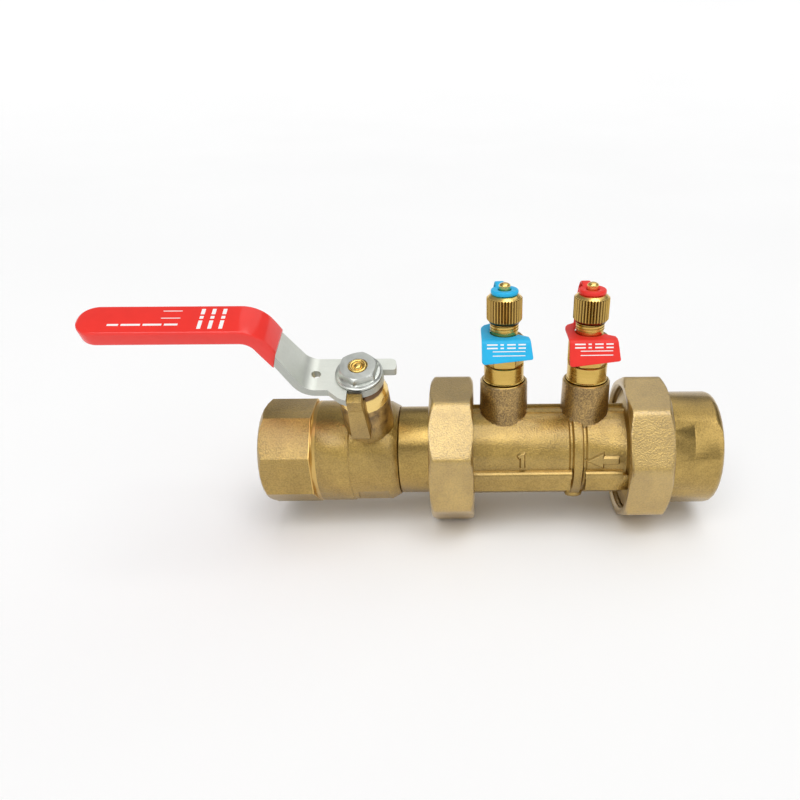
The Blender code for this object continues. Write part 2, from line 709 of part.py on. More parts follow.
def cartridge(pipe):
    """The flow cartridge: a slotted shell, its cap, seal and retainer, the piston and the spring."""
    collar = HOUSING_BORE - CLEAR
    middle = SEAT_X + CLEAR + CARTRIDGE_COLLAR_LENGTH / 2
    groove = O_RING / 2 + CLEAR
    lip = CARTRIDGE_BORE - CARTRIDGE_LIP
    shell = turned(
        "cartridge_shell",
        [
            (CARTRIDGE_OUTLET_X, CARTRIDGE_BORE),
            (CARTRIDGE_OUTLET_X, CARTRIDGE_RADIUS),
            (SEAT_X + CLEAR, CARTRIDGE_RADIUS),
            (SEAT_X + CLEAR, collar),
            (middle - groove, collar),
            (middle - groove, collar - O_RING),
            (middle + groove, collar - O_RING),
            (middle + groove, collar),
            (CARTRIDGE_INLET_X, collar),
            (CARTRIDGE_INLET_X, lip),
            (CARTRIDGE_INLET_X - CARTRIDGE_LIP, lip),
            (CARTRIDGE_INLET_X - CARTRIDGE_LIP, CARTRIDGE_BORE),
        ],
        pipe,
        INNER_ROUND,
    )
    start = CARTRIDGE_OUTLET_X + END_CAP_LENGTH + 2.0 * MM
    half = CARTRIDGE_SLOT_WIDTH / 2
    reach = CARTRIDGE_RADIUS + MM
    for i, across in enumerate(((half, reach), (reach, half))):
        low = (-across[0], -across[1], start)
        high = (across[0], across[1], start + CARTRIDGE_SLOT_LENGTH)
        cut(shell, add_cutter(f"cartridge_slots_{i}", box_mesh(f"cartridge_slots_{i}", low, high), pipe))
    finish(shell, STEEL, roughness=0.3)

    section = round_section(middle, collar - O_RING / 2, O_RING * 0.9, 6)
    seal = turned("cartridge_seal", section, pipe, INNER_ROUND)
    finish(seal, RUBBER, 0.0, 0.6)

    cap_hole = CARTRIDGE_BORE - END_CAP_RIM
    cap_radius = CARTRIDGE_BORE - CLEAR
    cap = turned(
        "cartridge_end_cap",
        tube(CARTRIDGE_OUTLET_X, CARTRIDGE_OUTLET_X + END_CAP_LENGTH, cap_hole, cap_radius),
        pipe,
        INNER_ROUND,
    )
    finish(cap, STEEL, roughness=0.3)

    clip = CARTRIDGE_INLET_X + 2 * CLEAR
    ring = turned(
        "cartridge_retainer",
        tube(clip, clip + RETAINER_WIDTH, HOUSING_BORE - RETAINER_RIM, HOUSING_BORE + RETAINER_REACH - CLEAR),
        pipe,
        INNER_ROUND,
    )
    half = RETAINER_GAP / 2
    low = (0.0, -half, clip - MM)
    high = (HOUSING_BORE + RETAINER_REACH + MM, half, clip + RETAINER_WIDTH + MM)
    cut(ring, add_cutter("retainer_gap", box_mesh("retainer_gap", low, high), pipe))
    finish(ring, STEEL, roughness=0.3)
    piston_and_spring()


def piston_and_spring():
    """The cup that the flow pushes, and the spring that pushes it back."""
    slide = add_frame("piston_axis", (PISTON_INLET_X, 0.0, 0.0), (0.0, math.pi / 2, 0.0))
    inner = PISTON_RADIUS - PISTON_WALL
    floor = -PISTON_WALL
    piston = turned(
        "cartridge_piston",
        [
            (-PISTON_LENGTH, inner),
            (-PISTON_LENGTH, PISTON_RADIUS),
            (0.0, PISTON_RADIUS),
            (0.0, PISTON_ORIFICE),
            (floor, PISTON_ORIFICE),
            (floor, inner),
        ],
        slide,
        INNER_ROUND,
    )
    finish(piston, STEEL, roughness=0.25)

    low = CARTRIDGE_OUTLET_X + END_CAP_LENGTH + CLEAR + SPRING_WIRE / 2
    high = PISTON_INLET_X - PISTON_WALL - CLEAR - SPRING_WIRE / 2
    radius = inner - CLEAR - SPRING_WIRE / 2
    curve = bpy.data.curves.new("cartridge_spring", "CURVE")
    curve.dimensions = "3D"
    curve.bevel_depth = SPRING_WIRE / 2
    curve.bevel_resolution = 1
    curve.use_fill_caps = True
    spline = curve.splines.new("POLY")
    count = SPRING_TURNS * 12
    spline.points.add(count)
    for i, point in enumerate(spline.points):
        turn = 2 * math.pi * SPRING_TURNS * i / count
        x = low + (high - low) * i / count
        point.co = (x, radius * math.cos(turn), radius * math.sin(turn), 1.0)
    finish_curve(add_object("cartridge_spring", curve), STEEL, 0.3)


def finish_curve(obj, colour, roughness):
    """The material of a piece made as a curve."""
    material = bpy.data.materials.new(obj.name)
    material.use_nodes = True
    shader = material.node_tree.nodes["Principled BSDF"]
    shader.inputs["Base Color"].default_value = (*colour, 1.0)
    shader.inputs["Metallic"].default_value = 1.0
    shader.inputs["Roughness"].default_value = roughness
    obj.data.materials.append(material)


def port_body(name, frame):
    """The brass plug of a test port: stud, collar, hexagon and threaded neck."""
    foot = PORT_COLLAR_Z - PORT_STUD_LENGTH
    core = PORT_CORE_RADIUS + CLEAR
    edge = 0.5 * MM
    chamber = PORT_TOP_Z - CORE_RETAINER_THICKNESS - PORT_CORE_LENGTH - 3 * CLEAR
    body = turned(
        name,
        [
            (foot, 0.0),
            (foot, PORT_STUD_RADIUS - edge),
            (foot + edge, PORT_STUD_RADIUS),
            (PORT_COLLAR_Z, PORT_STUD_RADIUS),
            (PORT_COLLAR_Z, PORT_COLLAR_RADIUS),
            (PORT_HEX_Z + MM, PORT_COLLAR_RADIUS),
            (PORT_HEX_Z + MM, PORT_NECK_RADIUS),
            (PORT_TOP_Z - edge, PORT_NECK_RADIUS),
            (PORT_TOP_Z, PORT_NECK_RADIUS - edge),
            (PORT_TOP_Z, 0.0),
        ],
        frame,
        INNER_ROUND,
    )
    corner = PORT_HEX_FLATS / 2 / math.cos(math.pi / 6)
    hexagon = add_cutter(
        f"{name}_hexagon",
        prism_mesh(f"{name}_hexagon", 6, corner, PORT_HEX_Z, PORT_NECK_Z, math.radians(30)),
        frame,
    )
    trim = turned_cutter(
        f"{name}_hexagon_trim",
        [
            (PORT_HEX_Z - MM, 0.0),
            (PORT_HEX_Z - MM, PORT_HEX_FLATS / 2),
            (PORT_HEX_Z, PORT_HEX_FLATS / 2),
            (PORT_HEX_Z + edge, corner),
            (PORT_NECK_Z - edge, corner),
            (PORT_NECK_Z, PORT_HEX_FLATS / 2),
            (PORT_NECK_Z + MM, PORT_HEX_FLATS / 2),
            (PORT_NECK_Z + MM, 0.0),
        ],
        frame,
        SMALL_ROUND,
    )
    boolean(hexagon, trim, "INTERSECT")
    join(body, hexagon)
    bore = turned_cutter(
        f"{name}_bore",
        [
            (foot - MM, 0.0),
            (foot - MM, PORT_BORE_RADIUS),
            (chamber, PORT_BORE_RADIUS),
            (chamber, core),
            (PORT_TOP_Z + MM, core),
            (PORT_TOP_Z + MM, 0.0),
        ],
        frame,
        SMALL_ROUND,
    )
    cut(body, bore)
    finish(body, BRIGHT_BRASS, roughness=0.25)


def knurled_cap(name, frame):
    """The knurled screw cap of a test port, with the knob that keeps its strap's ring on."""
    count = 2 * KNURL_TEETH
    knurl_top = CAP_TOP_Z - CAP_HEAD_BEVEL
    foot = CAP_RADIUS - 1.0 * MM
    shoulder = CAP_RADIUS - 1.5 * MM

    def ring(z, crest, root):
        """A ring of points, alternately on the crests and in the roots of the knurl."""
        turns = [2 * math.pi * i / count for i in range(count)]
        radii = [crest if i % 2 == 0 else root for i in range(count)]
        return [(r * math.cos(a), r * math.sin(a), z) for r, a in zip(radii, turns)]

    root = CAP_RADIUS - KNURL_DEPTH
    rings = [
        ring(CAP_Z, foot, foot),
        ring(CAP_Z + CAP_BEVEL, CAP_RADIUS, root),
        ring(knurl_top - 0.3 * MM, CAP_RADIUS, root),
        ring(knurl_top, root, root),
        ring(CAP_TOP_Z, shoulder, shoulder),
    ]
    cap = add_object(name, loft_mesh(name, rings), frame)
    ring_seat = CAP_TOP_Z + RING_THICKNESS + 3 * CLEAR
    knob = turned_cutter(
        f"{name}_knob",
        [
            (CAP_TOP_Z - MM, 0.0),
            (CAP_TOP_Z - MM, KNOB_NECK_RADIUS),
            (ring_seat, KNOB_NECK_RADIUS),
            (ring_seat, KNOB_RADIUS),
            (ring_seat + KNOB_HEIGHT * 0.5, KNOB_RADIUS),
            (ring_seat + KNOB_HEIGHT, KNOB_RADIUS * 0.6),
            (ring_seat + KNOB_HEIGHT, 0.0),
        ],
        frame,
        SMALL_ROUND,
    )
    join(cap, knob)
    bore = turned_cutter(f"{name}_bore", rod(CAP_Z - MM, CAP_CEILING_Z, CAP_BORE), frame, SMALL_ROUND)
    cut(cap, bore)
    finish(cap, BRIGHT_BRASS, roughness=0.3, smooth=20)


def tag_outline():
    """The tag seen from above, before its flap is bent: a hook round the neck."""
    hole = PORT_NECK_RADIUS + 2 * CLEAR
    wide = TAG_HALF_WIDTH
    fold = PORT_HEX_FLATS / 2 + TAG_THICKNESS / 2
    front = -(fold + TAG_FLAP)
    left = -wide
    inner = left + STRAP_WIDTH
    back = PORT_HEX_FLATS / 2 + 0.8 * MM
    corner = 1.2 * MM
    points = arc((left + corner, front - TAG_SLANT + corner), corner, 180, 270, 3)
    points += [(wide + 0.8 * MM, front)]
    points += [(wide, -hole * 0.75)]
    points += arc((0.0, 0.0), hole, -35, -185, 10)
    points += [(inner, back)]
    points += [(left + corner, back)]
    points += [(left, back - 2 * corner)]
    return points


def bend_down(form, fold, angle, radius):
    """Bends what lies in front of the fold down round a small radius."""
    for vert in form.verts:
        past = -vert.co.y - fold
        if past <= 0.0:
            continue
        turned_by = min(past / radius, angle)
        beyond = max(past - radius * angle, 0.0)
        y = radius * math.sin(turned_by) + beyond * math.cos(angle)
        z = -radius * (1 - math.cos(turned_by)) - beyond * math.sin(angle)
        height = vert.co.z
        vert.co.y = -fold - y - height * math.sin(turned_by)
        vert.co.z = z + height * math.cos(turned_by)


def tag(name, frame, colour):
    """The soft tag that lies on the hexagon, with its front bent down over the flats."""
    mesh = outline_mesh(name, tag_outline(), TAG_THICKNESS)
    fold = PORT_HEX_FLATS / 2 + TAG_THICKNESS / 2 - 0.2 * MM
    radius = 1.6 * MM
    form = bmesh.new()
    form.from_mesh(mesh)
    steps = 3
    for i in range(steps + 1):
        line = -(fold + radius * TAG_FLAP_ANGLE * i / steps)
        faces = form.verts[:] + form.edges[:] + form.faces[:]
        bmesh.ops.bisect_plane(form, geom=faces, plane_co=(0.0, line, 0.0), plane_no=(0.0, 1.0, 0.0))
    bend_down(form, fold, TAG_FLAP_ANGLE, radius)
    bmesh.ops.translate(form, vec=(0.0, 0.0, TAG_Z + TAG_THICKNESS / 2), verts=form.verts)
    bmesh.ops.triangulate(form, faces=form.faces)
    form.to_mesh(mesh)
    form.free()
    finish(add_object(name, mesh, frame), colour, 0.0, 0.45)


def strap_path():
    """The strap's (x, y, z) points from the back of the tag up over the cap to the ring."""
    left = -TAG_HALF_WIDTH + STRAP_WIDTH / 2
    tag_back = PORT_HEX_FLATS / 2 + 0.8 * MM + CLEAR
    low = TAG_Z + TAG_THICKNESS / 2
    high = CAP_TOP_Z + CLEAR + RING_THICKNESS / 2
    out = tag_back + STRAP_REACH
    end = RING_RADIUS + CLEAR
    steps = 10
    points = []
    for i in range(steps + 1):
        share = i / steps
        turn = math.pi * (share - 0.5)
        bow = math.cos(turn)
        y = (1 - share) * tag_back + share * end + bow * (out - max(tag_back, end)) * 0.9
        z = low + (high - low) * (0.5 + 0.5 * math.sin(turn))
        x = left * (1 - share) ** 3 - STRAP_LEAN * share
        points.append((x, y, z))
    return points


def strap(name, frame, colour):
    """The soft strap between the tag and the ring, as a strip with thickness."""
    form = bmesh.new()
    rows = []
    half = Vector((STRAP_WIDTH / 2, 0.0, 0.0))
    for point in strap_path():
        middle = Vector(point)
        rows.append((form.verts.new(middle - half), form.verts.new(middle + half)))
    for (a, b), (c, d) in zip(rows, rows[1:]):
        form.faces.new((a, b, d, c))
    mesh = bpy.data.meshes.new(name)
    form.to_mesh(mesh)
    form.free()
    obj = add_object(name, mesh, frame)
    thicken = obj.modifiers.new("thickness", "SOLIDIFY")
    thicken.thickness = TAG_THICKNESS
    thicken.offset = 0.0
    thicken.use_even_offset = True
    finish(obj, colour, 0.0, 0.45)


def test_port(side, x, colour):
    """A whole test port, whose cap screws off up its own axis."""
    axis = add_frame(f"{side}_port_axis", (x, 0.0, 0.0), (0.0, 0.0, 0.0))
    port_body(f"{side}_port_body", axis)
    seal = round_section(PORT_SEAT_Z + CLEAR + O_RING / 2, PORT_STUD_RADIUS + CLEAR + O_RING / 2, O_RING, 6)
    finish(turned(f"{side}_port_seal", seal, axis, SMALL_ROUND), RUBBER, 0.0, 0.6)

    top = PORT_TOP_Z - CORE_RETAINER_THICKNESS - CLEAR
    core_rod = rod(top - CLEAR - PORT_CORE_LENGTH, top, PORT_CORE_RADIUS)
    core = turned(f"{side}_port_core", core_rod, axis, SMALL_ROUND)
    finish(core, RUBBER, 0.0, 0.7)
    retainer = tube(top + CLEAR, PORT_TOP_Z, PORT_BORE_RADIUS, PORT_CORE_RADIUS)
    finish(turned(f"{side}_port_core_retainer", retainer, axis, SMALL_ROUND), BRIGHT_BRASS, roughness=0.3)

    liner = rod(PORT_TOP_Z + CLEAR, PORT_TOP_Z + CLEAR + CAP_LINER, PORT_NECK_RADIUS - CLEAR)
    finish(turned(f"{side}_port_cap_liner", liner, axis, SMALL_ROUND), RUBBER, 0.0, 0.6)
    knurled_cap(f"{side}_port_cap", axis)

    ring_low = CAP_TOP_Z + CLEAR
    ring = tube(ring_low, ring_low + RING_THICKNESS, KNOB_NECK_RADIUS + CLEAR, RING_RADIUS)
    finish(turned(f"{side}_port_strap_ring", ring, axis, SMALL_ROUND), colour, 0.0, 0.45)
    leash_axis = add_frame(f"{side}_leash_axis", (0.0, 0.0, 0.0), (0.0, 0.0, TAG_TURN), axis)
    tag(f"{side}_port_tag", leash_axis, colour)
    strap(f"{side}_port_strap", leash_axis, colour)


def union_nut(name, direction, back_x, turn, bore):
    """An octagonal union nut whose Z axis points from its lip towards the housing."""
    nut_axis = add_frame(f"{name}_axis", (back_x, 0.0, 0.0), (0.0, direction * math.pi / 2, 0.0))
    corner = NUT_FLATS / 2 / math.cos(math.pi / 8)
    flat = NUT_FLATS / 2
    first_corner = math.pi / 8 + direction * turn
    nut = add_object(name, prism_mesh(name, 8, corner, 0.0, NUT_LENGTH, first_corner), nut_axis)
    trim = turned_cutter(
        f"{name}_chamfers",
        [
            (0.0, 0.0),
            (0.0, flat),
            (NUT_BACK_CHAMFER, corner + 0.1 * MM),
            (NUT_LENGTH - NUT_OPEN_CHAMFER, corner + 0.1 * MM),
            (NUT_LENGTH, flat),
            (NUT_LENGTH, 0.0),
        ],
        nut_axis,
        ROUND,
    )
    boolean(nut, trim, "INTERSECT")
    mouth = 0.9 * MM
    inside = turned_cutter(
        f"{name}_thread_bore",
        [
            (-MM, 0.0),
            (-MM, bore),
            (NUT_LIP, bore),
            (NUT_LIP, NUT_BORE),
            (NUT_LENGTH - mouth, NUT_BORE),
            (NUT_LENGTH + mouth, NUT_BORE + 2 * mouth),
            (NUT_LENGTH + mouth, 0.0),
        ],
        nut_axis,
    )
    cut(nut, inside)
    finish(nut, BRASS, roughness=0.5)


def gasket(name, face_x, direction, pipe):
    """The flat gasket between the housing's end and a tail's flange."""
    near = face_x + direction * CLEAR
    far = near + direction * GASKET_THICKNESS
    outer = THREAD_RADIUS - END_CHAMFER
    ring = tube(min(near, far), max(near, far), outer - GASKET_WIDTH, outer)
    finish(turned(name, ring, pipe, INNER_ROUND), RUBBER, 0.0, 0.7)


def inlet_tailpiece(pipe):
    """The inlet tail: a flange under the nut's lip, a socket for the pipe, and wrench flats."""
    flange = INLET_FACE_X + GASKET_THICKNESS + 2 * CLEAR
    seat = flange + FLANGE_THICKNESS
    floor = INLET_END_X - SOCKET_DEPTH
    mouth = 0.8 * MM
    edge = INLET_TAIL_EDGE
    profile = [
        (flange, WATERWAY_RADIUS + 2.0 * MM),
        (flange, FLANGE_RADIUS),
        (seat, FLANGE_RADIUS),
        (seat, INLET_TAIL_RADIUS),
    ]
    profile += arc((INLET_END_X - edge, INLET_TAIL_RADIUS - edge), edge, 90, 0, 4)
    profile += [
        (INLET_END_X, PIPE_SOCKET_RADIUS + mouth),
        (INLET_END_X - mouth, PIPE_SOCKET_RADIUS),
        (floor, PIPE_SOCKET_RADIUS),
        (floor, WATERWAY_RADIUS + 2.0 * MM),
    ]
    tail = turned("inlet_tailpiece", profile, pipe)
    for i, side in enumerate((-1, 1)):
        flats = add_frame(f"wrench_flat_{i}_axis", (0.0, 0.0, 0.0), (WRENCH_FLAT_TURN, 0.0, 0.0))
        near = side * (INLET_TAIL_RADIUS - WRENCH_FLAT_DEPTH)
        far = side * (INLET_TAIL_RADIUS + 2.0 * MM)
        low = (INLET_END_X - WRENCH_FLAT_LENGTH, -INLET_TAIL_RADIUS, min(near, far))
        high = (INLET_END_X + MM, INLET_TAIL_RADIUS, max(near, far))
        name = f"wrench_flat_{i}"
        cut(tail, add_cutter(name, box_mesh(name, low, high), flats))
    finish(tail, BRASS, roughness=0.5)


def outlet_tail(frame):
    """The outlet tail, which screws into the valve body and holds the inlet side's ball seat."""
    flange = OUTLET_FACE_X - GASKET_THICKNESS - 2 * CLEAR - STEM_X
    seat = flange - FLANGE_THICKNESS
    nose = NOSE_START + 0.1 * MM
    edge = 0.4 * MM
    tail = turned(
        "outlet_tail",
        [
            (nose, SEAT_POCKET),
            (nose, TAIL_NOSE_RADIUS),
            (VALVE_END, TAIL_NOSE_RADIUS),
            (VALVE_END + edge, TAIL_RADIUS),
            (seat, TAIL_RADIUS),
            (seat, FLANGE_RADIUS),
            (flange, FLANGE_RADIUS),
            (flange, WATERWAY_RADIUS),
            (SEAT_BACK + CLEAR, WATERWAY_RADIUS),
            (SEAT_BACK + CLEAR, SEAT_POCKET),
        ],
        frame,
    )
    finish(tail, BRASS, roughness=0.45)


def valve_outer():
    """The valve body's outside as (distance from the ball, radius), with the tail's end positive."""
    band = VALVE_RADIUS + END_BAND_RISE
    return [
        (-BAND_END - MM, 0.0),
        (-BAND_END - MM, band - 1.2 * MM),
        (-BAND_END + MM, band - 0.7 * MM),
        (-BAND_END + MM, band),
        (-NOSE_START, band),
        (-NOSE_START + END_BAND_RISE, VALVE_RADIUS),
        (VALVE_END - VALVE_END_CHAMFER, VALVE_RADIUS),
        (VALVE_END, TAIL_RADIUS + 0.3 * MM),
        (VALVE_END, 0.0),
    ]


def valve_bore():
    """The valve body's inside: pipe socket, waterway, seat pocket, ball chamber and thread."""
    past = MM
    thread = TAIL_NOSE_RADIUS + CLEAR
    edge = 0.8 * MM
    return [
        (-OUTLET_END - past, 0.0),
        (-OUTLET_END - past, PIPE_SOCKET_RADIUS + edge + past),
        (-OUTLET_END + edge, PIPE_SOCKET_RADIUS),
        (-SOCKET_FLOOR, PIPE_SOCKET_RADIUS),
        (-SOCKET_FLOOR, WATERWAY_RADIUS),
        (-SEAT_BACK - CLEAR, WATERWAY_RADIUS),
        (-SEAT_BACK - CLEAR, SEAT_POCKET),
        (-NOSE_START, SEAT_POCKET),
        (-NOSE_START * 0.75, CHAMBER_RADIUS),
        (NOSE_START - 2 * CLEAR, CHAMBER_RADIUS),
        (NOSE_START - 2 * CLEAR, thread),
        (VALVE_END + past, thread),
        (VALVE_END + past, 0.0),
    ]


def neck_outer():
    """The neck round the stem, with the bright cone turned on its top."""
    cone = NECK_TOP - NECK_CONE
    return [
        (BALL_RADIUS, 0.0),
        (BALL_RADIUS, NECK_RADIUS + 0.4 * MM),
        (cone - 0.8 * MM, NECK_RADIUS),
        (cone, NECK_RADIUS - 0.5 * MM),
        (NECK_TOP, NECK_RADIUS - 2.2 * MM),
        (NECK_TOP, 0.0),
    ]


def neck_bore():
    """The hole for the stem, with the foot's pocket below and the packing's bore above."""
    pocket = STEM_FOOT_RADIUS + CLEAR
    stem = STEM_RADIUS + CLEAR
    return [
        (0.0, 0.0),
        (0.0, pocket),
        (FOOT_POCKET_TOP, pocket),
        (FOOT_POCKET_TOP, stem),
        (PACKING_Z - CLEAR, stem),
        (PACKING_Z - CLEAR, PACKING_BORE + CLEAR),
        (NECK_TOP + MM, PACKING_BORE + CLEAR),
        (NECK_TOP + MM, 0.0),
    ]


def valve_body(pipe, stem):
    """The ball valve's body: octagonal end, ball chamber, neck and the lever's stop lug."""
    body = turned("valve_body", valve_outer(), pipe)
    octagon = prism_mesh("valve_octagon", 8, OCTAGON_RADIUS, -OUTLET_END, -BAND_END, math.pi)
    end = add_cutter("valve_octagon", octagon, pipe)
    edge = OCTAGON_RADIUS * (1 - math.cos(math.pi / 8))
    trim = turned_cutter(
        "valve_octagon_chamfer",
        [
            (-OUTLET_END, 0.0),
            (-OUTLET_END, OCTAGON_RADIUS - edge * 1.4),
            (-OUTLET_END + edge * 1.2, OCTAGON_RADIUS + 0.1 * MM),
            (-BAND_END + MM, OCTAGON_RADIUS + 0.1 * MM),
            (-BAND_END + MM, 0.0),
        ],
        pipe,
    )
    boolean(end, trim, "INTERSECT")
    low = (-LUG_LEFT, -LUG_INNER - LUG_THICKNESS, LUG_TOP - LUG_DROP)
    high = (LUG_RIGHT, -LUG_INNER, LUG_TOP)
    lug = add_cutter("stop_lug", box_mesh("stop_lug", low, high), stem)
    root_low = (-LUG_LEFT, -LUG_INNER - LUG_THICKNESS, LUG_TOP - LUG_DROP)
    root_high = (LUG_RIGHT, -NECK_RADIUS * 0.6, NECK_TOP - NECK_CONE - 2.0 * MM)
    root = add_cutter("stop_lug_root", box_mesh("stop_lug_root", root_low, root_high), stem)
    neck = turned_cutter("valve_neck", neck_outer(), stem, INNER_ROUND)
    join(body, end, neck, lug, root)
    cut(body, turned_cutter("valve_waterway", valve_bore(), pipe))
    cut(body, turned_cutter("valve_neck_bore", neck_bore(), stem, SMALL_ROUND))
    for i, side in enumerate((-1, 1)):
        cut(body, mark_recess(i, side, stem))
    finish(body, BRASS, roughness=0.5)


def mark_recess(index, side, stem):
    """The shallow flat recess low on each side of the valve body."""
    right = VALVE_END - VALVE_END_CHAMFER - 0.8 * MM
    near = side * (VALVE_RADIUS - MARK_RECESS)
    far = side * (VALVE_RADIUS + 2.0 * MM)
    low = (right - MARK_LENGTH, min(near, far), -MARK_DROP - MARK_HEIGHT / 2)
    high = (right, max(near, far), -MARK_DROP + MARK_HEIGHT / 2)
    name = f"mark_recess_{index}"
    recess_frame = add_frame(f"{name}_axis", (0.0, 0.0, 0.0), (-side * MARK_TURN, 0.0, 0.0), stem)
    return add_cutter(name, box_mesh(name, low, high), recess_frame)


def ball_seats(pipe):
    """The two rings that the ball turns against, hollowed to its shape."""
    inner = WATERWAY_RADIUS + CLEAR
    sphere = BALL_RADIUS + CLEAR
    radii = [inner + (SEAT_RADIUS - inner) * i / 3 for i in range(4)]
    face = [(math.sqrt(sphere**2 - r**2), r) for r in radii]
    for name, side in (("inlet_ball_seat", 1), ("outlet_ball_seat", -1)):
        points = [(side * z, r) for z, r in face]
        points += [(side * SEAT_BACK, SEAT_RADIUS), (side * SEAT_BACK, inner)]
        finish(turned(name, points, pipe, INNER_ROUND), PTFE, 0.0, 0.5)


def ball(stem):
    """The bored ball, slotted on top for the stem's tang."""
    steps = 10
    turns = [math.pi * i / steps for i in range(steps + 1)]
    points = [(-BALL_RADIUS * math.cos(a), BALL_RADIUS * math.sin(a)) for a in turns]
    points[0] = (-BALL_RADIUS, 0.0)
    points[-1] = (BALL_RADIUS, 0.0)
    solid = turned("ball", points, stem, INNER_ROUND)
    bore_frame = add_frame("ball_bore_axis", (0.0, 0.0, 0.0), (0.0, math.pi / 2, 0.0), stem)
    reach = BALL_RADIUS + MM
    cut(solid, turned_cutter("ball_bore", rod(-reach, reach, WATERWAY_RADIUS), bore_frame, INNER_ROUND))
    half = STEM_TANG_WIDTH / 2 + CLEAR
    long = STEM_FOOT_RADIUS + CLEAR
    low = (-long, -half, SLOT_FLOOR)
    high = (long, half, BALL_RADIUS + MM)
    cut(solid, add_cutter("ball_slot", box_mesh("ball_slot", low, high), stem))
    finish(solid, STEEL, roughness=0.12)


def stem_parts(stem):
    """The stem with its tang and flats, its washer, its packing and the gland above it."""
    shaft = turned(
        "stem",
        [
            (FOOT_Z, 0.0),
            (FOOT_Z, STEM_FOOT_RADIUS),
            (WASHER_Z - CLEAR, STEM_FOOT_RADIUS),
            (WASHER_Z - CLEAR, STEM_RADIUS),
            (LEVER_TOP - CLEAR, STEM_RADIUS),
            (LEVER_TOP - CLEAR, STEM_TOP_RADIUS),
            (STEM_TOP - 0.5 * MM, STEM_TOP_RADIUS),
            (STEM_TOP, STEM_TOP_RADIUS - 0.5 * MM),
            (STEM_TOP, STEM_TOP_RADIUS * 0.35),
            (STEM_TOP - MM, 0.0),
        ],
        stem,
        SMALL_ROUND,
    )
    half = STEM_TANG_WIDTH / 2
    long = STEM_FOOT_RADIUS * 0.9
    low = (-long, -half, SLOT_FLOOR + CLEAR)
    high = (long, half, FOOT_Z + 0.5 * MM)
    join(shaft, add_cutter("stem_tang", box_mesh("stem_tang", low, high), stem))
    for i, side in enumerate((-1, 1)):
        edges = sorted((side * STEM_FLATS, side * (STEM_RADIUS + MM)))
        low = (-STEM_RADIUS - MM, edges[0], LEVER_Z - CLEAR)
        high = (STEM_RADIUS + MM, edges[1], LEVER_TOP)
        cut(shaft, add_cutter(f"stem_flat_{i}", box_mesh(f"stem_flat_{i}", low, high), stem))
    finish(shaft, BRIGHT_BRASS, roughness=0.25)

    inner = STEM_RADIUS + CLEAR
    washer = tube(WASHER_Z, WASHER_Z + THRUST_WASHER, inner, STEM_FOOT_RADIUS)
    finish(turned("stem_thrust_washer", washer, stem, SMALL_ROUND), PTFE, 0.0, 0.5)
    packing = tube(PACKING_Z, PACKING_Z + PACKING_HEIGHT, inner, PACKING_BORE)
    finish(turned("stem_packing", packing, stem, SMALL_ROUND), PTFE, 0.0, 0.5)
    gland = turned("gland_nut", tube(GLAND_Z, GLAND_TOP, inner, PACKING_BORE), stem, SMALL_ROUND)
    low = (-PACKING_BORE - MM, -0.8 * MM, GLAND_TOP - 0.8 * MM)
    high = (PACKING_BORE + MM, 0.8 * MM, GLAND_TOP + MM)
    cut(gland, add_cutter("gland_slot", box_mesh("gland_slot", low, high), stem))
    finish(gland, BRIGHT_BRASS, roughness=0.25)


def lever_path():
    """The (x, z) middle line of the lever plate, from the hub out along the handle."""
    turn = LEVER_BEND_RADIUS * math.tan(LEVER_STEP_ANGLE / 2)
    run = LEVER_STEP_RISE / math.tan(LEVER_STEP_ANGLE)
    z = LEVER_Z + LEVER_THICKNESS / 2
    corner = Vector((-LEVER_STEP_START, z))
    upper = Vector((-LEVER_STEP_START - run, z + LEVER_STEP_RISE))
    angles = [LEVER_STEP_ANGLE * i / BEND_STEPS for i in range(BEND_STEPS + 1)]
    points = [(-STEM_RADIUS, z)]
    centre = corner + Vector((turn, LEVER_BEND_RADIUS))
    bend = LEVER_BEND_RADIUS
    for a in angles:
        points.append((centre.x - bend * math.sin(a), centre.y - bend * math.cos(a)))
    for climb in (GRIP_CLIMB - LEVER_SHOULDER, GRIP_CLIMB):
        points.append(tuple(corner.lerp(upper, climb / LEVER_STEP_RISE)))
    centre = upper + Vector((-turn, -LEVER_BEND_RADIUS))
    for a in reversed(angles):
        points.append((centre.x + bend * math.sin(a), centre.y + bend * math.cos(a)))
    return points


def strip_mesh(name, path, half_widths, end_x):
    """A strip along a path of (x, z) points, as wide at each as the list says, with its
    outer end rounded in plan."""
    radius = half_widths[-1]
    steps = 6
    z = path[-1][1]
    stations = [(x, z_here, width) for (x, z_here), width in zip(path, half_widths)]
    for i in range(steps + 1):
        a = math.pi / 2 * i / steps
        width = max(radius * math.cos(a), 0.25 * radius)
        stations.append((end_x + radius - radius * math.sin(a), z, width))
    form = bmesh.new()
    rows = []
    for x, z_here, width in stations:
        rows.append((form.verts.new((x, -width, z_here)), form.verts.new((x, width, z_here))))
    for (a, b), (c, d) in zip(rows, rows[1:]):
        form.faces.new((a, b, d, c))
    mesh = bpy.data.meshes.new(name)
    form.to_mesh(mesh)
    form.free()
    return mesh


def thicken(obj, thickness):
    """Gives a strip its thickness, half on each side."""
    modifier = obj.modifiers.new("thickness", "SOLIDIFY")
    modifier.thickness = thickness
    modifier.offset = 0.0
    modifier.use_even_offset = True


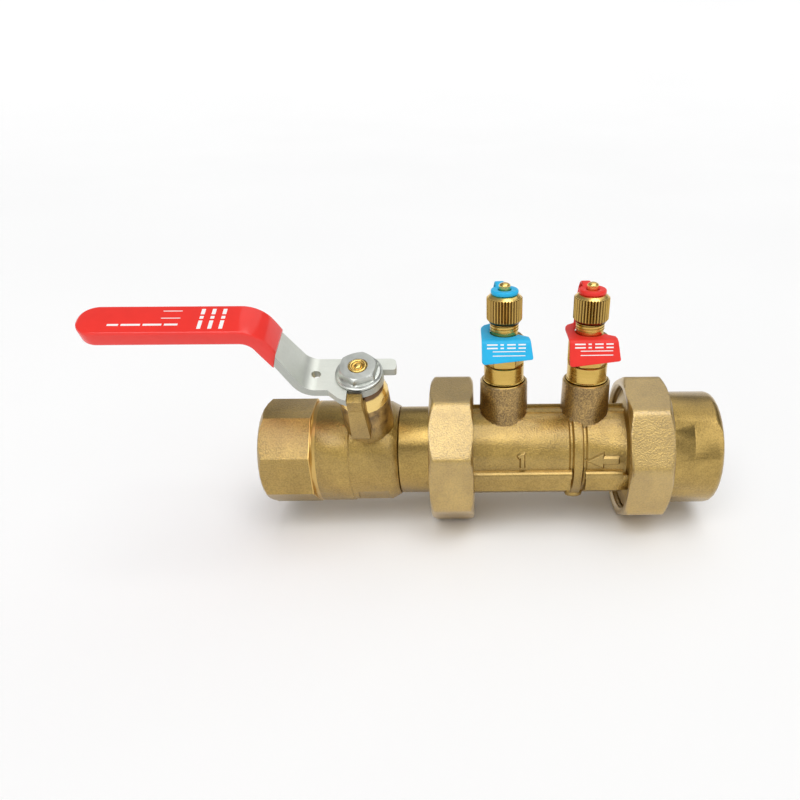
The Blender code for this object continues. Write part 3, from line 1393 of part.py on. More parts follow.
def hub_outline():
    """The flat end of the lever round the stem, with its ear and its stop fan."""
    half = LEVER_WIDTH / 2
    ear = LUG_RIGHT + CLEAR
    stop = -LUG_LEFT - CLEAR
    corner = 2.0 * MM
    hub = LEVER_HUB_RADIUS
    ear_turn = math.degrees(math.asin(ear / hub))
    stop_turn = math.degrees(math.acos(stop / hub))
    fan_turn = math.degrees(math.acos(stop / LEVER_FAN_RADIUS))
    points = [(-LEVER_STEP_START * 0.5, half)]
    points += arc((LEVER_EAR_REACH - corner, half - corner), corner, 90, 0, 3)
    points += [(LEVER_EAR_REACH, ear)]
    points += arc((0.0, 0.0), hub, ear_turn, -stop_turn, 12)
    points += arc((0.0, 0.0), LEVER_FAN_RADIUS, -fan_turn, -fan_turn - 14, 2)
    points += [(-LEVER_FAN_START, -half)]
    points += [(-LEVER_STEP_START * 0.5 - 2.0 * MM, -half)]
    return list(reversed(points))


def lever_parts(stem):
    """The bent steel lever with its flange nut, and the soft sleeve over its handle."""
    path = lever_path()
    end_x = -LEVER_REACH
    half = LEVER_WIDTH / 2
    middle = LEVER_Z + LEVER_THICKNESS / 2
    handle_points = BEND_STEPS + 2  # of the path, from the sleeve's mouth on
    halves = [half] * (len(path) - handle_points) + [HANDLE_WIDTH / 2] * handle_points
    lever = add_object("lever", strip_mesh("lever", path, halves, end_x + GRIP_END), stem)
    thicken(lever, LEVER_THICKNESS)
    hub = add_cutter("lever_hub", outline_mesh("lever_hub", hub_outline(), LEVER_THICKNESS), stem)
    hub.location = (0.0, 0.0, middle)
    join(lever, hub)
    low = middle - LEVER_THICKNESS
    high = middle + LEVER_THICKNESS
    hole = turned_cutter("lever_stem_hole", rod(low, high, STEM_RADIUS + CLEAR), stem, SMALL_ROUND)
    flats = (STEM_RADIUS + MM, STEM_FLATS + CLEAR)
    keep = add_cutter(
        "lever_stem_flats", box_mesh("lever_stem_flats", (-flats[0], -flats[1], low), (*flats, high)), stem
    )
    boolean(hole, keep, "INTERSECT")
    hanging = add_frame("lever_hole_axis", (-LEVER_HOLE_X, -half * 0.15, 0.0), (0.0, 0.0, 0.0), stem)
    small = turned_cutter("lever_small_hole", rod(low, high, LEVER_HOLE_RADIUS), hanging, SMALL_ROUND)
    cut(lever, hole, small)
    finish(lever, STEEL, roughness=0.3)

    grip_path = path[-handle_points:]
    grip_halves = [HANDLE_WIDTH / 2 + GRIP_SIDE] * handle_points
    grip = add_object("lever_grip", strip_mesh("lever_grip", grip_path, grip_halves, end_x), stem)
    thicken(grip, LEVER_THICKNESS + 2 * (GRIP_SKIN + CLEAR))
    bevel(grip, GRIP_SKIN, 2, 50)
    pocket_halves = [HANDLE_WIDTH / 2 + CLEAR] * handle_points
    pocket_end = end_x + GRIP_END - CLEAR
    hollow = strip_mesh("grip_pocket", pocket_path(grip_path), pocket_halves, pocket_end)
    pocket = add_cutter("grip_pocket", hollow, stem)
    thicken(pocket, LEVER_THICKNESS + 2 * CLEAR)
    cut(grip, pocket)
    finish(grip, RED, 0.0, 0.25)

    flange = LEVER_TOP + CLEAR
    nut_foot = flange + NUT_FLANGE_THICKNESS
    corner = LEVER_NUT_FLATS / 2 / math.cos(math.pi / 6)
    hole_radius = STEM_TOP_RADIUS + CLEAR
    nut = turned(
        "lever_nut",
        [
            (flange, 0.0),
            (flange, NUT_FLANGE_RADIUS),
            (flange + 0.6 * MM, NUT_FLANGE_RADIUS),
            (nut_foot, corner),
            (nut_foot, 0.0),
        ],
        stem,
        INNER_ROUND,
    )
    name = "lever_nut_hexagon"
    hexagon = add_cutter(
        name, prism_mesh(name, 6, corner, nut_foot - 0.5 * MM, LEVER_NUT_TOP, math.radians(262)), stem
    )
    trim = turned_cutter(
        "lever_nut_trim",
        [
            (flange, 0.0),
            (flange, corner + MM),
            (LEVER_NUT_TOP - 0.6 * MM, corner + 0.1 * MM),
            (LEVER_NUT_TOP, LEVER_NUT_FLATS / 2 - 0.2 * MM),
            (LEVER_NUT_TOP, 0.0),
        ],
        stem,
        INNER_ROUND,
    )
    boolean(hexagon, trim, "INTERSECT")
    join(nut, hexagon)
    cut(nut, turned_cutter("lever_nut_hole", rod(flange - MM, STEM_TOP, hole_radius), stem, SMALL_ROUND))
    finish(nut, STEEL, roughness=0.2)


def pocket_path(path):
    """The sleeve's path run a little past its mouth, so that the pocket opens there."""
    first = Vector(path[0])
    second = Vector(path[1])
    past = first + (first - second).normalized() * MM
    return [tuple(past)] + path[1:]


def build():
    """Makes every piece of the valve."""
    pipe = add_frame("pipe_axis", (0.0, 0.0, 0.0), (0.0, math.pi / 2, 0.0))
    centre_housing(pipe)
    cartridge(pipe)
    test_port("low", LOW_PORT_X, BLUE)
    test_port("high", HIGH_PORT_X, RED)

    gasket("inlet_gasket", INLET_FACE_X, 1, pipe)
    inlet_tailpiece(pipe)
    union_nut("inlet_nut", -1, INLET_NUT_BACK_X, INLET_NUT_TURN, INLET_TAIL_RADIUS + CLEAR)

    gasket("outlet_gasket", OUTLET_FACE_X, -1, pipe)
    union_nut("outlet_nut", 1, OUTLET_NUT_BACK_X, OUTLET_NUT_TURN, TAIL_RADIUS + CLEAR)

    stem = add_frame("stem_axis", (STEM_X, 0.0, 0.0), (STEM_TILT, 0.0, 0.0))
    valve_pipe = add_frame("valve_pipe_axis", (0.0, 0.0, 0.0), (0.0, math.pi / 2, 0.0), stem)
    outlet_tail(valve_pipe)
    valve_body(valve_pipe, stem)
    ball_seats(valve_pipe)
    ball(stem)
    stem_parts(stem)
    lever_parts(stem)


clear_scene()
PARTS = make_collection("automatic_balancing_valve", False)
CUTTERS = make_collection("cutters", True)
build()
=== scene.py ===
"""The looks of the automatic balancing valve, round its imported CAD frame. Everything is in metres."""

import json
import math

import bmesh
import bpy
from mathutils import Matrix, Vector


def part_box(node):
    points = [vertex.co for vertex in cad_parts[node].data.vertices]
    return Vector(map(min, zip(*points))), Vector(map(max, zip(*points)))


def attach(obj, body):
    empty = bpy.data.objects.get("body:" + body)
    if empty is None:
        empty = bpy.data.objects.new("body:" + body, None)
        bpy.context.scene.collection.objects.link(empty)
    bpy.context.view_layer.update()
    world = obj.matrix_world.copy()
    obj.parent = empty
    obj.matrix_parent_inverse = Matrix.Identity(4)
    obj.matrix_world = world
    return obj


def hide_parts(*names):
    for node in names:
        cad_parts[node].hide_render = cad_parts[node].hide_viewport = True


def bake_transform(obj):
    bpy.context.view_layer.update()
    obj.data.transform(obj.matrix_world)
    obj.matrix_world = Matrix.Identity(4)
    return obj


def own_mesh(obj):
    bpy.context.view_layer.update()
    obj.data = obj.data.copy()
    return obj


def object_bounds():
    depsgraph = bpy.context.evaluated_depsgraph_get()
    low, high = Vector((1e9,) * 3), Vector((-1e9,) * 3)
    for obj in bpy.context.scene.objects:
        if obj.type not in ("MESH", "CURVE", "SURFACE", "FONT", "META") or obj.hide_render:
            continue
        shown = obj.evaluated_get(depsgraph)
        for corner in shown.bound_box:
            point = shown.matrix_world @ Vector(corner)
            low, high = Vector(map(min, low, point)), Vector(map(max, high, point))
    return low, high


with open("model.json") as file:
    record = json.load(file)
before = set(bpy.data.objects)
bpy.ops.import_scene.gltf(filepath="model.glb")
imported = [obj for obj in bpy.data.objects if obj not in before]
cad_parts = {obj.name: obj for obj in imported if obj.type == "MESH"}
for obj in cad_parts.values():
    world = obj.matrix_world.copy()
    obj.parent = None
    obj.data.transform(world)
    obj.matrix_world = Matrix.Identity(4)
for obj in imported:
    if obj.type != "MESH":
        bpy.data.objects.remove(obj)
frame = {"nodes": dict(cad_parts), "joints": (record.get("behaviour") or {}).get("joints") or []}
CAD_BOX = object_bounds()
NODES = frame["nodes"]
JOINTS = {joint["name"]: joint for joint in frame["joints"]}
MM = 0.001
WELD = 0.002 * MM  # facets' corners nearer than this are one

# The camera, fitted to the photograph, and the lights. Angles are in degrees.
PICTURE = 800  # its width in pixels
FOCAL_PIXELS = 700.0
AXIS_PIXEL = (490.8, 448.4)  # where the origin lies in the picture
CAMERA_DISTANCE = 280 * MM
CAMERA_AZIMUTH = -1.14
CAMERA_ELEVATION = 30
SENSOR = 36.0
SURROUND = (0.22, 0.22, 0.22)
SUNS = (  # azimuth, elevation, spread and power
    ("key", -26, 53, 36, 0.92),
    ("top", 52, 74, 38, 0.94),
    ("side", 35, 45, 34, 0.38),
    ("back", 158, 60, 50, 0.46),
)
FLOOR_RISE = math.radians(17)
FLOOR_REACH = 30.0

# The test ports' caps, tags and straps.
SIDES = ("low", "high")
KNURL_TEETH = 34
KNURL_DEPTH = 0.55 * MM
CAP_BEVEL = 1.9 * MM
CAP_SHOULDER = 1.5 * MM
CAP_HEAD_BEVEL = 1.3 * MM
CAP_ROOF = 2.7 * MM
CAP_KNURL_TOP = 62.25 * MM
KNOB_RADIUS = 2.1 * MM
KNOB_NECK = 1.95 * MM
KNOB_HEIGHT = 1.5 * MM
THREAD_PITCH = 1.0 * MM
THREAD_RISE = 0.25 * MM
THREAD_LENGTH = 9.6 * MM
NECK_RADIUS = 5.0 * MM
HEX_FLATS = 13.2 * MM
TAG_THICKNESS = 1.0 * MM
TAG_HALF_WIDTH = 8.5 * MM
TAG_FLAP = {"low": (8.8 * MM, 7.2 * MM), "high": (9.8 * MM, 8.0 * MM)}  # at its left and right end
TAG_FOLD = 7.4 * MM  # in front of the port's axis
TAG_FOLD_START = TAG_FOLD - 0.2 * MM
TAG_FLAP_ANGLE = math.radians(64)
TAG_FOLD_RADIUS = 1.6 * MM
TAG_TURN = math.radians(1)
STRAP_WIDTH = 3.4 * MM
LEASH_VOXEL = 0.24 * MM
SEAT_GAP = 0.3 * MM
RING_DROP = 0.25 * MM
COLLAR_RADIUS = 7.45 * MM
COLLAR_Z = 29.0 * MM
HEX_Z = 37.0 * MM
HEX_TOP = 47.7 * MM
STUD_RADIUS = 5.8 * MM
PORT_BORE = 1.7 * MM
PORT_CORE_BORE = 3.3 * MM
PORT_CORE_LENGTH = 15.7 * MM
PRINT_THICKNESS = 0.06 * MM
PRINT_LIFT = 0.02 * MM

# The lever and its sleeve, whose line follows the CAD lever's.
STEM_X = -45.9125 * MM
LEVER_HEIGHT = 43.5 * MM  # of its middle, up the stem
STEP_START = 18.6 * MM
STEP_RISE = 25.3 * MM
STEP_ANGLE = math.radians(66)
BEND_RADIUS = 7.0 * MM
SETBACK = BEND_RADIUS * math.tan(STEP_ANGLE / 2)  # from a bend's end to its corner
BEND_LENGTH = BEND_RADIUS * STEP_ANGLE
FIRST_BEND = STEP_START - SETBACK
SLOPE = STEP_RISE / math.sin(STEP_ANGLE) - 2 * SETBACK  # the straight between the bends
SECOND_BEND = FIRST_BEND + BEND_LENGTH + SLOPE
SLEEVE_CLIMB = 16.4 * MM
SLEEVE_SLANT = 1.0 * MM  # of its mouth, from its back to its front edge
SLEEVE_LIP = 5.6 * MM  # by which its underside reaches further down
MOUTH_THICKNESS = 0.95  # of the sleeve's own
SLEEVE_REACH = 85.2 * MM
SLEEVE_HALF_WIDTH = 6.3 * MM
SLEEVE_HALF_THICKNESS = 2.8 * MM
SLEEVE_EDGE = 1.0 * MM
PLATE_THICKNESS = 3.0 * MM
LEVER_WIDTH = 14.4 * MM
LEVER_HOLES = ((0.0, 0.0, 4.6 * MM), (-14.9 * MM, -0.1 * MM, 1.6 * MM))  # for the stem and to hang it by
HANDLE_HALF_WIDTH = 5.2 * MM
HUB_RADIUS = 8.2 * MM
LEVER_NUT_FLATS = 12.5 * MM
LEVER_NUT_TURN = math.radians(262)
LEVER_NUT_HOLE = 3.7 * MM
LEVER_NUT_MOUTH = 3.2 * MM
LEVER_NUT_TOP = 49.4 * MM  # up the stem
FAN_RADIUS = 12.4 * MM
FAN_START = 10.3 * MM
EAR_REACH = 12.4 * MM
PLATE_SHOULDER = 36.2 * MM
PLATE_TAPER = 5.9 * MM  # half its width at the shoulder
PLATE_LENGTH = 96.5 * MM

# The union nuts and the pipe threads.
NUT_FLATS = 53.7 * MM
NUT_BORE = 24.2 * MM
NUT_BACK_BORE = {"inlet": 22.4 * MM, "outlet": 17.4 * MM}
NUT_LIP = 2.5 * MM
NUT_BACK_CHAMFER = 1.5 * MM
NUT_OPEN_CHAMFER = 1.2 * MM
NUT_PITCH = 1.8 * MM
NUT_PHASE = {"inlet": math.radians(34.1), "outlet": math.radians(24.8)}  # of a corner
SOCKET_WALL = 15.6 * MM
SOCKET_PITCH = 2.2 * MM

# The housing and the valve body.
BARREL_RADIUS = 17.6 * MM
BOSS_TOP = 30.3 * MM
BOSS_EDGE = 9.2 * MM
PAD_FRONT = 19.6 * MM
NECK_EDGE = 9.3 * MM  # round the stem
NECK_MACHINED = 34.0 * MM  # up the stem
NECK_SHADE = 38.4 * MM  # up the stem, where painted shade begins under the lever
NECK_END = 99 * MM  # higher than anything on the stem
BAND = (-68.2 * MM, -65.6 * MM)  # of the valve body, between its octagon and its barrel
# The plain figure one and the flow arrow on the barrel, as outlines in x and z, in millimetres.
CAST_ONE = [(10.9, 1.9), (12.3, 1.9), (12.3, 7.0), (11.2, 7.0), (9.9, 6.2), (10.2, 5.4), (10.9, 5.7)]
CAST_ARROW = [(36.3, 4.1), (42.1, 1.5), (42.1, 3.0), (47.9, 3.0), (47.9, 5.2), (42.1, 5.2), (42.1, 6.7)]

NUT_LIGHT = (0.61, 0.415, 0.115)
NUT_DARK = (0.36, 0.23, 0.055)
GOLD_LIGHT = (0.56, 0.37, 0.092)
GOLD_DARK = (0.25, 0.157, 0.03)
CAST_LIGHT = (0.58, 0.37, 0.11)
CAST_DARK = (0.17, 0.10, 0.03)
BRIGHT_LIGHT = (0.88, 0.62, 0.20)
BRIGHT_DARK = (0.66, 0.43, 0.11)
TURNED_LIGHT = (0.74, 0.50, 0.14)
TURNED_DARK = (0.54, 0.35, 0.08)
# painted shade: dark brown for the neck's top under the lever, where the lever shades it
PAINTED_SHADE = (0.16, 0.075, 0.02)
KNURL_LIGHT = (0.54, 0.35, 0.11)
# painted shade for the knurl's valleys and the cap's faces nearer its axis
KNURL_VALLEY_SHADE = (0.10, 0.055, 0.015)
STEEL_LIGHT = (0.78, 0.80, 0.74)
STEEL_DARK = (0.71, 0.73, 0.67)
SHEARED = (0.52, 0.54, 0.50)
NUT_STEEL_LIGHT = (0.64, 0.66, 0.62)
NUT_STEEL_DARK = (0.54, 0.56, 0.52)
BALL_LIGHT = (0.9, 0.9, 0.89)
BALL_DARK = (0.7, 0.7, 0.7)
BLACK = (0.02, 0.02, 0.02)
BLUE = (0.02, 0.49, 0.85)
RED = (0.88, 0.035, 0.025)
GRIP_RED = (0.88, 0.04, 0.03)
WHITE = (0.92, 0.92, 0.90)
FLOOR_LIGHT = (0.98, 0.98, 0.98)
FLOOR_DARK = (0.96, 0.96, 0.96)

stem_axis = Vector(JOINTS["lever_turn"]["axis"])
stem_tilt = math.atan2(-stem_axis.y, stem_axis.z)
# The matrix that carries the stem's own axes into the valve.
STEM = Matrix.Translation(Vector((STEM_X, 0.0, 0.0))) @ Matrix.Rotation(stem_tilt, 4, "X")


class Finish:
    """A material whose colour, roughness and bump come from its nodes."""

    def __init__(self, name, metallic=0.0, roughness=0.5):
        self.material = bpy.data.materials.new(name)
        self.material.use_nodes = True
        self.tree = self.material.node_tree
        self.shader = self.tree.nodes["Principled BSDF"]
        self.put(Metallic=metallic, Roughness=roughness)
        self.place = self.add("ShaderNodeTexCoord").outputs["Object"]
        self.normal = None

    def feed(self, target, source):
        """Sets an input to a value, or joins another node's output to it."""
        if isinstance(source, bpy.types.NodeSocket):
            self.tree.links.new(source, target)
        elif target.type == "RGBA":
            target.default_value = (*source, 1.0)
        else:
            target.default_value = source

    def fill(self, node, sources):
        """Feeds a node's inputs by name."""
        for name, source in sources.items():
            self.feed(node.inputs[name.replace("_", " ")], source)
        return node

    def add(self, kind, **sources):
        return self.fill(self.tree.nodes.new(kind), sources)

    def put(self, **sources):
        """Feeds the shader's own inputs."""
        self.fill(self.shader, sources)

    def stretched(self, factors):
        """The object's coordinates, stretched along each axis."""
        return self.add("ShaderNodeMapping", Vector=self.place, Scale=factors).outputs["Vector"]

    def noise(self, size, detail=2.0, distortion=0.0, along=None):
        """A noise of features about this size, most of whose values lie between 0.3 and 0.7."""
        node = self.add("ShaderNodeTexNoise", Vector=along or self.place, Scale=1 / size, Detail=detail,
                        Distortion=distortion)
        return node.outputs["Fac"]

    def ramp(self, factor, dark, light, low=0.3, high=0.7):
        """A blend from dark to light while the factor goes from low to high."""
        node = self.add("ShaderNodeValToRGB", Fac=factor)
        for end, position, colour in zip(node.color_ramp.elements, (low, high), (dark, light)):
            end.position = position
            end.color = (*colour, 1.0)
        return node.outputs["Color"]

    def span(self, factor, start, end, low, high):
        """Goes from low to high while the factor goes from start to end."""
        node = self.add("ShaderNodeMapRange", Value=factor, From_Min=start, From_Max=end, To_Min=low,
                        To_Max=high)
        return node.outputs["Result"]

    def rise(self, factor, start, end):
        return self.span(factor, start, end, 0.0, 1.0)

    def fall(self, factor, start, end):
        return self.span(factor, start, end, 1.0, 0.0)

    def mix(self, factor, first, second, kind="RGBA"):
        """A colour between two colours, or a number of kind FLOAT between two numbers."""
        node = self.tree.nodes.new("ShaderNodeMix")
        node.data_type = kind
        wanted = "RGBA" if kind == "RGBA" else "VALUE"
        ends = [socket for socket in node.inputs if socket.type == wanted][-2:]
        for target, source in zip((node.inputs["Factor"], *ends), (factor, first, second)):
            self.feed(target, source)
        return next(socket for socket in node.outputs if socket.type == wanted)

    def reckon(self, kind, operation, first, second):
        """A node that reckons with two inputs."""
        node = self.tree.nodes.new(kind)
        node.operation = operation
        self.feed(node.inputs[0], first)
        self.feed(node.inputs[1], second)
        return node

    def times(self, first, second):
        """The product of two factors."""
        return self.reckon("ShaderNodeMath", "MULTIPLY", first, second).outputs[0]

    def greater(self, first, second):
        """The greater of two factors."""
        return self.reckon("ShaderNodeMath", "MAXIMUM", first, second).outputs[0]

    def split(self, place):
        """A place's three coordinates."""
        return list(self.add("ShaderNodeSeparateXYZ", Vector=place).outputs)

    def height(self):
        return self.split(self.place)[2]

    def distance(self, point, place=None):
        """How far a place is from the upright line through a point."""
        flat = self.reckon("ShaderNodeVectorMath", "MULTIPLY", place or self.place, (1.0, 1.0, 0.0))
        reach = self.reckon("ShaderNodeVectorMath", "DISTANCE", flat.outputs["Vector"], point)
        return reach.outputs["Value"]

    def bump(self, height, distance):
        """Roughens the surface by a height, on top of the bumps before it."""
        node = self.add("ShaderNodeBump", Strength=1.0, Distance=distance, Height=height)
        if self.normal:
            self.feed(node.inputs["Normal"], self.normal)
        self.normal = node.outputs["Normal"]
        self.put(Normal=self.normal)

    def roughness(self, noise, rough):
        """Makes the roughness follow a noise."""
        self.put(Roughness=self.span(noise, 0.3, 0.7, *rough))


def blasted(name, dark, light, grain=0.6 * MM, depth=0.3 * MM, rough=(0.32, 0.46), sheen=0.6, bare=None):
    """Brass after shot blasting: an uneven tint and a fine pebbled grain, but none where bare is 1."""
    finish = Finish(name, metallic=1.0)
    pebbles = finish.noise(grain)
    clouds = finish.noise(12 * MM, 4.0, 0.4)
    tint = finish.ramp(clouds, dark, light, 0.25, 0.75)
    finish.put(Base_Color=finish.mix(0.35, tint, finish.ramp(pebbles, dark, light, 0.36, 0.6)))
    finish.roughness(finish.noise(grain * 0.35), rough)
    if bare:
        pebbles = finish.times(pebbles, finish.fall(bare(finish), 0.0, 1.0))
    finish.bump(pebbles, depth)
    finish.put(Coat_Weight=sheen, Coat_Roughness=0.3, Coat_IOR=1.8)
    return finish


def machined(name, dark, light, axis):
    """Turned brass: bright, with faint tool marks round its axis."""
    finish = Finish(name, metallic=1.0)
    squeeze = [60.0, 60.0, 60.0]
    squeeze[axis] = 1400.0
    marks = finish.noise(1.0, along=finish.stretched(squeeze))
    clouds = finish.noise(9 * MM, 3.0)
    tint = finish.ramp(clouds, dark, light)
    finish.put(Base_Color=finish.mix(0.3, tint, finish.ramp(marks, dark, light)))
    finish.roughness(marks, (0.16, 0.3))
    finish.bump(marks, 0.008 * MM)
    return finish


def knurled(name, centre_x, radius):
    """Knurled brass: bright on the crests, with painted shade in the valleys between them."""
    finish = Finish(name, metallic=1.0)
    clouds = finish.noise(5 * MM, 3.0, 0.5)
    reach = finish.distance((centre_x, 0.0, 0.0))
    valley = finish.fall(reach, radius - KNURL_DEPTH * 0.9, radius - KNURL_DEPTH * 0.15)
    below = finish.fall(finish.height(), CAP_KNURL_TOP - 0.15 * MM, CAP_KNURL_TOP)
    brass = finish.mix(below, BRIGHT_LIGHT, finish.ramp(clouds, KNURL_LIGHT, BRIGHT_DARK))
    # painted shade: below the knurl's top, the valleys and the faces nearer the axis turn near black
    finish.put(Base_Color=finish.mix(finish.times(valley, below), brass, KNURL_VALLEY_SHADE))
    finish.roughness(clouds, (0.2, 0.34))
    return finish


def plated_steel():
    """Zinc-plated steel plate: an even matte grey, a little scuffed, and darker where it was sheared."""
    finish = Finish("plated_steel", metallic=1.0)
    rolled = finish.noise(1.0, 3.0, along=finish.stretched([120.0, 900.0, 900.0]))
    clouds = finish.noise(7 * MM, 3.0, 0.5)
    specks = finish.noise(0.6 * MM)
    face = finish.mix(0.3, *[finish.ramp(noise, STEEL_DARK, STEEL_LIGHT) for noise in (clouds, rolled)])
    turned = finish.split(finish.place.node.outputs["Normal"])[1]
    sheared = finish.greater(finish.rise(turned, 0.6, 0.8), finish.fall(turned, -0.8, -0.6))
    finish.put(Base_Color=finish.mix(sheared, face, SHEARED))
    finish.roughness(specks, (0.5, 0.62))
    finish.bump(specks, 0.012 * MM)
    return finish


def polished(name, dark, light, rough=(0.06, 0.16)):
    """Polished plating with faint smears."""
    finish = Finish(name, metallic=1.0)
    smears = finish.noise(5 * MM, 4.0, 1.0)
    finish.put(Base_Color=finish.ramp(smears, dark, light))
    finish.roughness(smears, rough)
    return finish


def plastic(name, colour, rough=(0.36, 0.5), skin=0.02 * MM, shade=0.8):
    """Moulded plastic or rubber: an even colour with a faint skin and a little wear."""
    finish = Finish(name)
    deep = tuple(channel * shade for channel in colour)
    grain = finish.noise(0.5 * MM)
    finish.put(Base_Color=finish.ramp(finish.noise(6 * MM), deep, colour), Specular_IOR_Level=0.3)
    finish.roughness(grain, rough)
    if skin:
        finish.bump(grain, skin)
    return finish


def dipped(name, colour):
    """Thick glossy vinyl, dipped over the handle."""
    finish = plastic(name, colour, (0.14, 0.2), None, 0.95)
    finish.put(Specular_IOR_Level=0.42)
    finish.bump(finish.noise(9 * MM, 1.0), 0.03 * MM)
    return finish


def lay_over(finish, mask, colour, smooth):
    """Lays another colour and roughness where the mask is 1, over those made before; it bares turned faces
    and cast skin, and paints shade.
    """
    inputs = finish.shader.inputs
    old_colour, old_rough = [inputs[name].links[0].from_socket for name in ("Base Color", "Roughness")]
    finish.put(Base_Color=finish.mix(mask, old_colour, colour))
    finish.put(Roughness=finish.mix(mask, old_rough, smooth, "FLOAT"))


def boss_rim(finish):
    """Where the bosses' tops are machined."""
    return finish.rise(finish.height(), BOSS_TOP - 0.35 * MM, BOSS_TOP - 0.25 * MM)


def cast_housing():
    """Brass on the barrel, a brown cast skin on the bosses, and their machined tops."""
    finish = blasted("cast_housing", GOLD_DARK, GOLD_LIGHT, 0.55 * MM, 0.19 * MM, sheen=0.5, bare=boss_rim)
    clouds = finish.noise(5 * MM, 4.0, 0.6)
    pebbles = finish.noise(0.55 * MM, 1.0, 0.2)
    skin = finish.mix(0.6, finish.ramp(clouds, CAST_DARK, CAST_LIGHT),
                      finish.ramp(pebbles, CAST_DARK, CAST_LIGHT, 0.4, 0.62))
    reaches = [finish.distance((port_x(side), 0.0, 0.0)) for side in SIDES]
    near = finish.greater(*[finish.fall(reach, BOSS_EDGE, BOSS_EDGE + 0.5 * MM) for reach in reaches])
    lay_over(finish, finish.times(near, finish.rise(finish.height(), 6 * MM, 9 * MM)), skin, 0.42)
    lay_over(finish, boss_rim(finish), TURNED_DARK, 0.3)
    return finish


def round_stem(finish, low, whole, high):
    """Where the valve body's neck stands round the stem, between two heights up the stem. It is whole
    from a height a little over the low one."""
    across = finish.tree.nodes.new("ShaderNodeMapping")
    across.vector_type = "TEXTURE"
    finish.fill(across, {"Vector": finish.place, "Location": STEM.translation, "Rotation": STEM.to_euler()})
    place = across.outputs["Vector"]
    near = finish.fall(finish.distance((0.0, 0.0, 0.0), place), NECK_EDGE, NECK_EDGE + 0.3 * MM)
    up = finish.split(place)[2]
    between = finish.times(finish.rise(up, low, whole), finish.fall(up, high, high + 0.1 * MM))
    return finish.times(near, between)


def turned_band(finish):
    """Where the valve body is turned smooth, beside its octagon."""
    along = finish.split(finish.place)[0]
    return finish.times(finish.rise(along, BAND[0], BAND[0] + 0.05 * MM),
                        finish.fall(along, BAND[1] - 0.05 * MM, BAND[1]))


def turned_neck(finish):
    """Where the neck's top is turned smooth."""
    return round_stem(finish, NECK_MACHINED, NECK_MACHINED + 0.2 * MM, NECK_END)


def turned_places(finish):
    return finish.greater(turned_band(finish), turned_neck(finish))


def cast_valve():
    """The valve body's blasted brass, brown on the neck, with the turned band, the neck's turned top and
    painted shade on the neck's top under the lever.
    """
    finish = blasted("cast_valve", GOLD_DARK, GOLD_LIGHT, depth=0.24 * MM, sheen=0.5, bare=turned_places)
    skin = finish.ramp(finish.noise(4 * MM, 3.0, 0.5), CAST_DARK, CAST_LIGHT, 0.3, 0.75)
    lay_over(finish, round_stem(finish, 20 * MM, 25 * MM, NECK_MACHINED), skin, 0.42)
    lay_over(finish, turned_band(finish), BRIGHT_DARK, 0.4)
    lay_over(finish, turned_neck(finish), BRIGHT_LIGHT, 0.2)
    # painted shade: the neck's top under the lever is darkened, as the lever's shade would darken it
    lay_over(finish, round_stem(finish, NECK_SHADE, NECK_SHADE + 0.5 * MM, NECK_END), PAINTED_SHADE, 0.4)
    return finish


def dress(names, finish):
    """Gives CAD nodes their finish."""
    for name in names:
        node = NODES[name]
        node.data.materials.clear()
        node.data.materials.append(finish.material)


def smooth(mesh):
    """Shades a mesh smoothly across its facets."""
    for face in mesh.polygons:
        face.use_smooth = True


def bevel(obj, width, angle):
    """Rounds an object's edges that are sharper than an angle in degrees."""
    edge = obj.modifiers.new("edge", "BEVEL")
    edge.width = width
    edge.segments = 2
    edge.limit_method = "ANGLE"
    edge.angle_limit = math.radians(angle)
    edge.harden_normals = True
    smooth(obj.data)


def soften(name, width):
    """Rounds a CAD node's sharp edges in the picture, as casting or deburring leaves them."""
    node = NODES[name]
    weld = node.modifiers.new("weld", "WELD")
    weld.merge_threshold = WELD
    flat = node.modifiers.new("flat", "DECIMATE")
    flat.decimate_type = "DISSOLVE"
    flat.angle_limit = math.radians(0.6)
    bevel(node, width, 32)


def new_object(name, data):
    obj = bpy.data.objects.new(name, data)
    bpy.context.scene.collection.objects.link(obj)
    return obj


def add_piece(name, mesh, finish, sharp=None):
    """A detailed piece of its own mesh. Its edges stay crisp where they turn by over sharp degrees."""
    mesh.materials.append(finish.material)
    smooth(mesh)
    if sharp:
        mesh.set_sharp_from_angle(angle=math.radians(sharp))
    return new_object(name, mesh)


def mesh_of(name, form):
    """The mesh of an edited form, with its faces turned outwards."""
    bmesh.ops.recalc_face_normals(form, faces=form.faces)
    mesh = bpy.data.meshes.new(name)
    form.to_mesh(mesh)
    form.free()
    return mesh


def skin_over(name, rings, finish, sharp=None, close=False, caps=(0, -1)):
    """A piece with a skin over rings of points. It is joined end to end where it closes on itself, and
    otherwise the rings in caps get a face each."""
    form = bmesh.new()
    rows = [[form.verts.new(point) for point in ring] for ring in rings]
    pairs = list(zip(rows, rows[1:]))
    if close:
        pairs.append((rows[-1], rows[0]))
        caps = ()
    for low, high in pairs:
        for i in range(len(low)):
            j = (i + 1) % len(low)
            form.faces.new((low[i], low[j], high[j], high[i]))
    for row in caps:
        form.faces.new(rows[row])
    return add_piece(name, mesh_of(name, form), finish, sharp)


def turns(count):
    """Angles all round."""
    return [math.tau * i / count for i in range(count)]


def circle(radius, z, count, x=0.0, y=0.0):
    """A level ring of points round x and y."""
    return [(x + radius * math.cos(a), y + radius * math.sin(a), z) for a in turns(count)]


def arc(centre, radius, start, end, steps):
    """Points round part of a circle, its angles in degrees."""
    angles = [math.radians(start + (end - start) * i / steps) for i in range(steps + 1)]
    return [(centre[0] + radius * math.cos(a), centre[1] + radius * math.sin(a)) for a in angles]


def quarters(middles, edge, steps):
    """Points round the four rounded corners of a section."""
    points = []
    for turn, middle in enumerate(middles):
        points += arc(middle, edge, 90 * turn, 90 * turn + 90, steps)
    return points


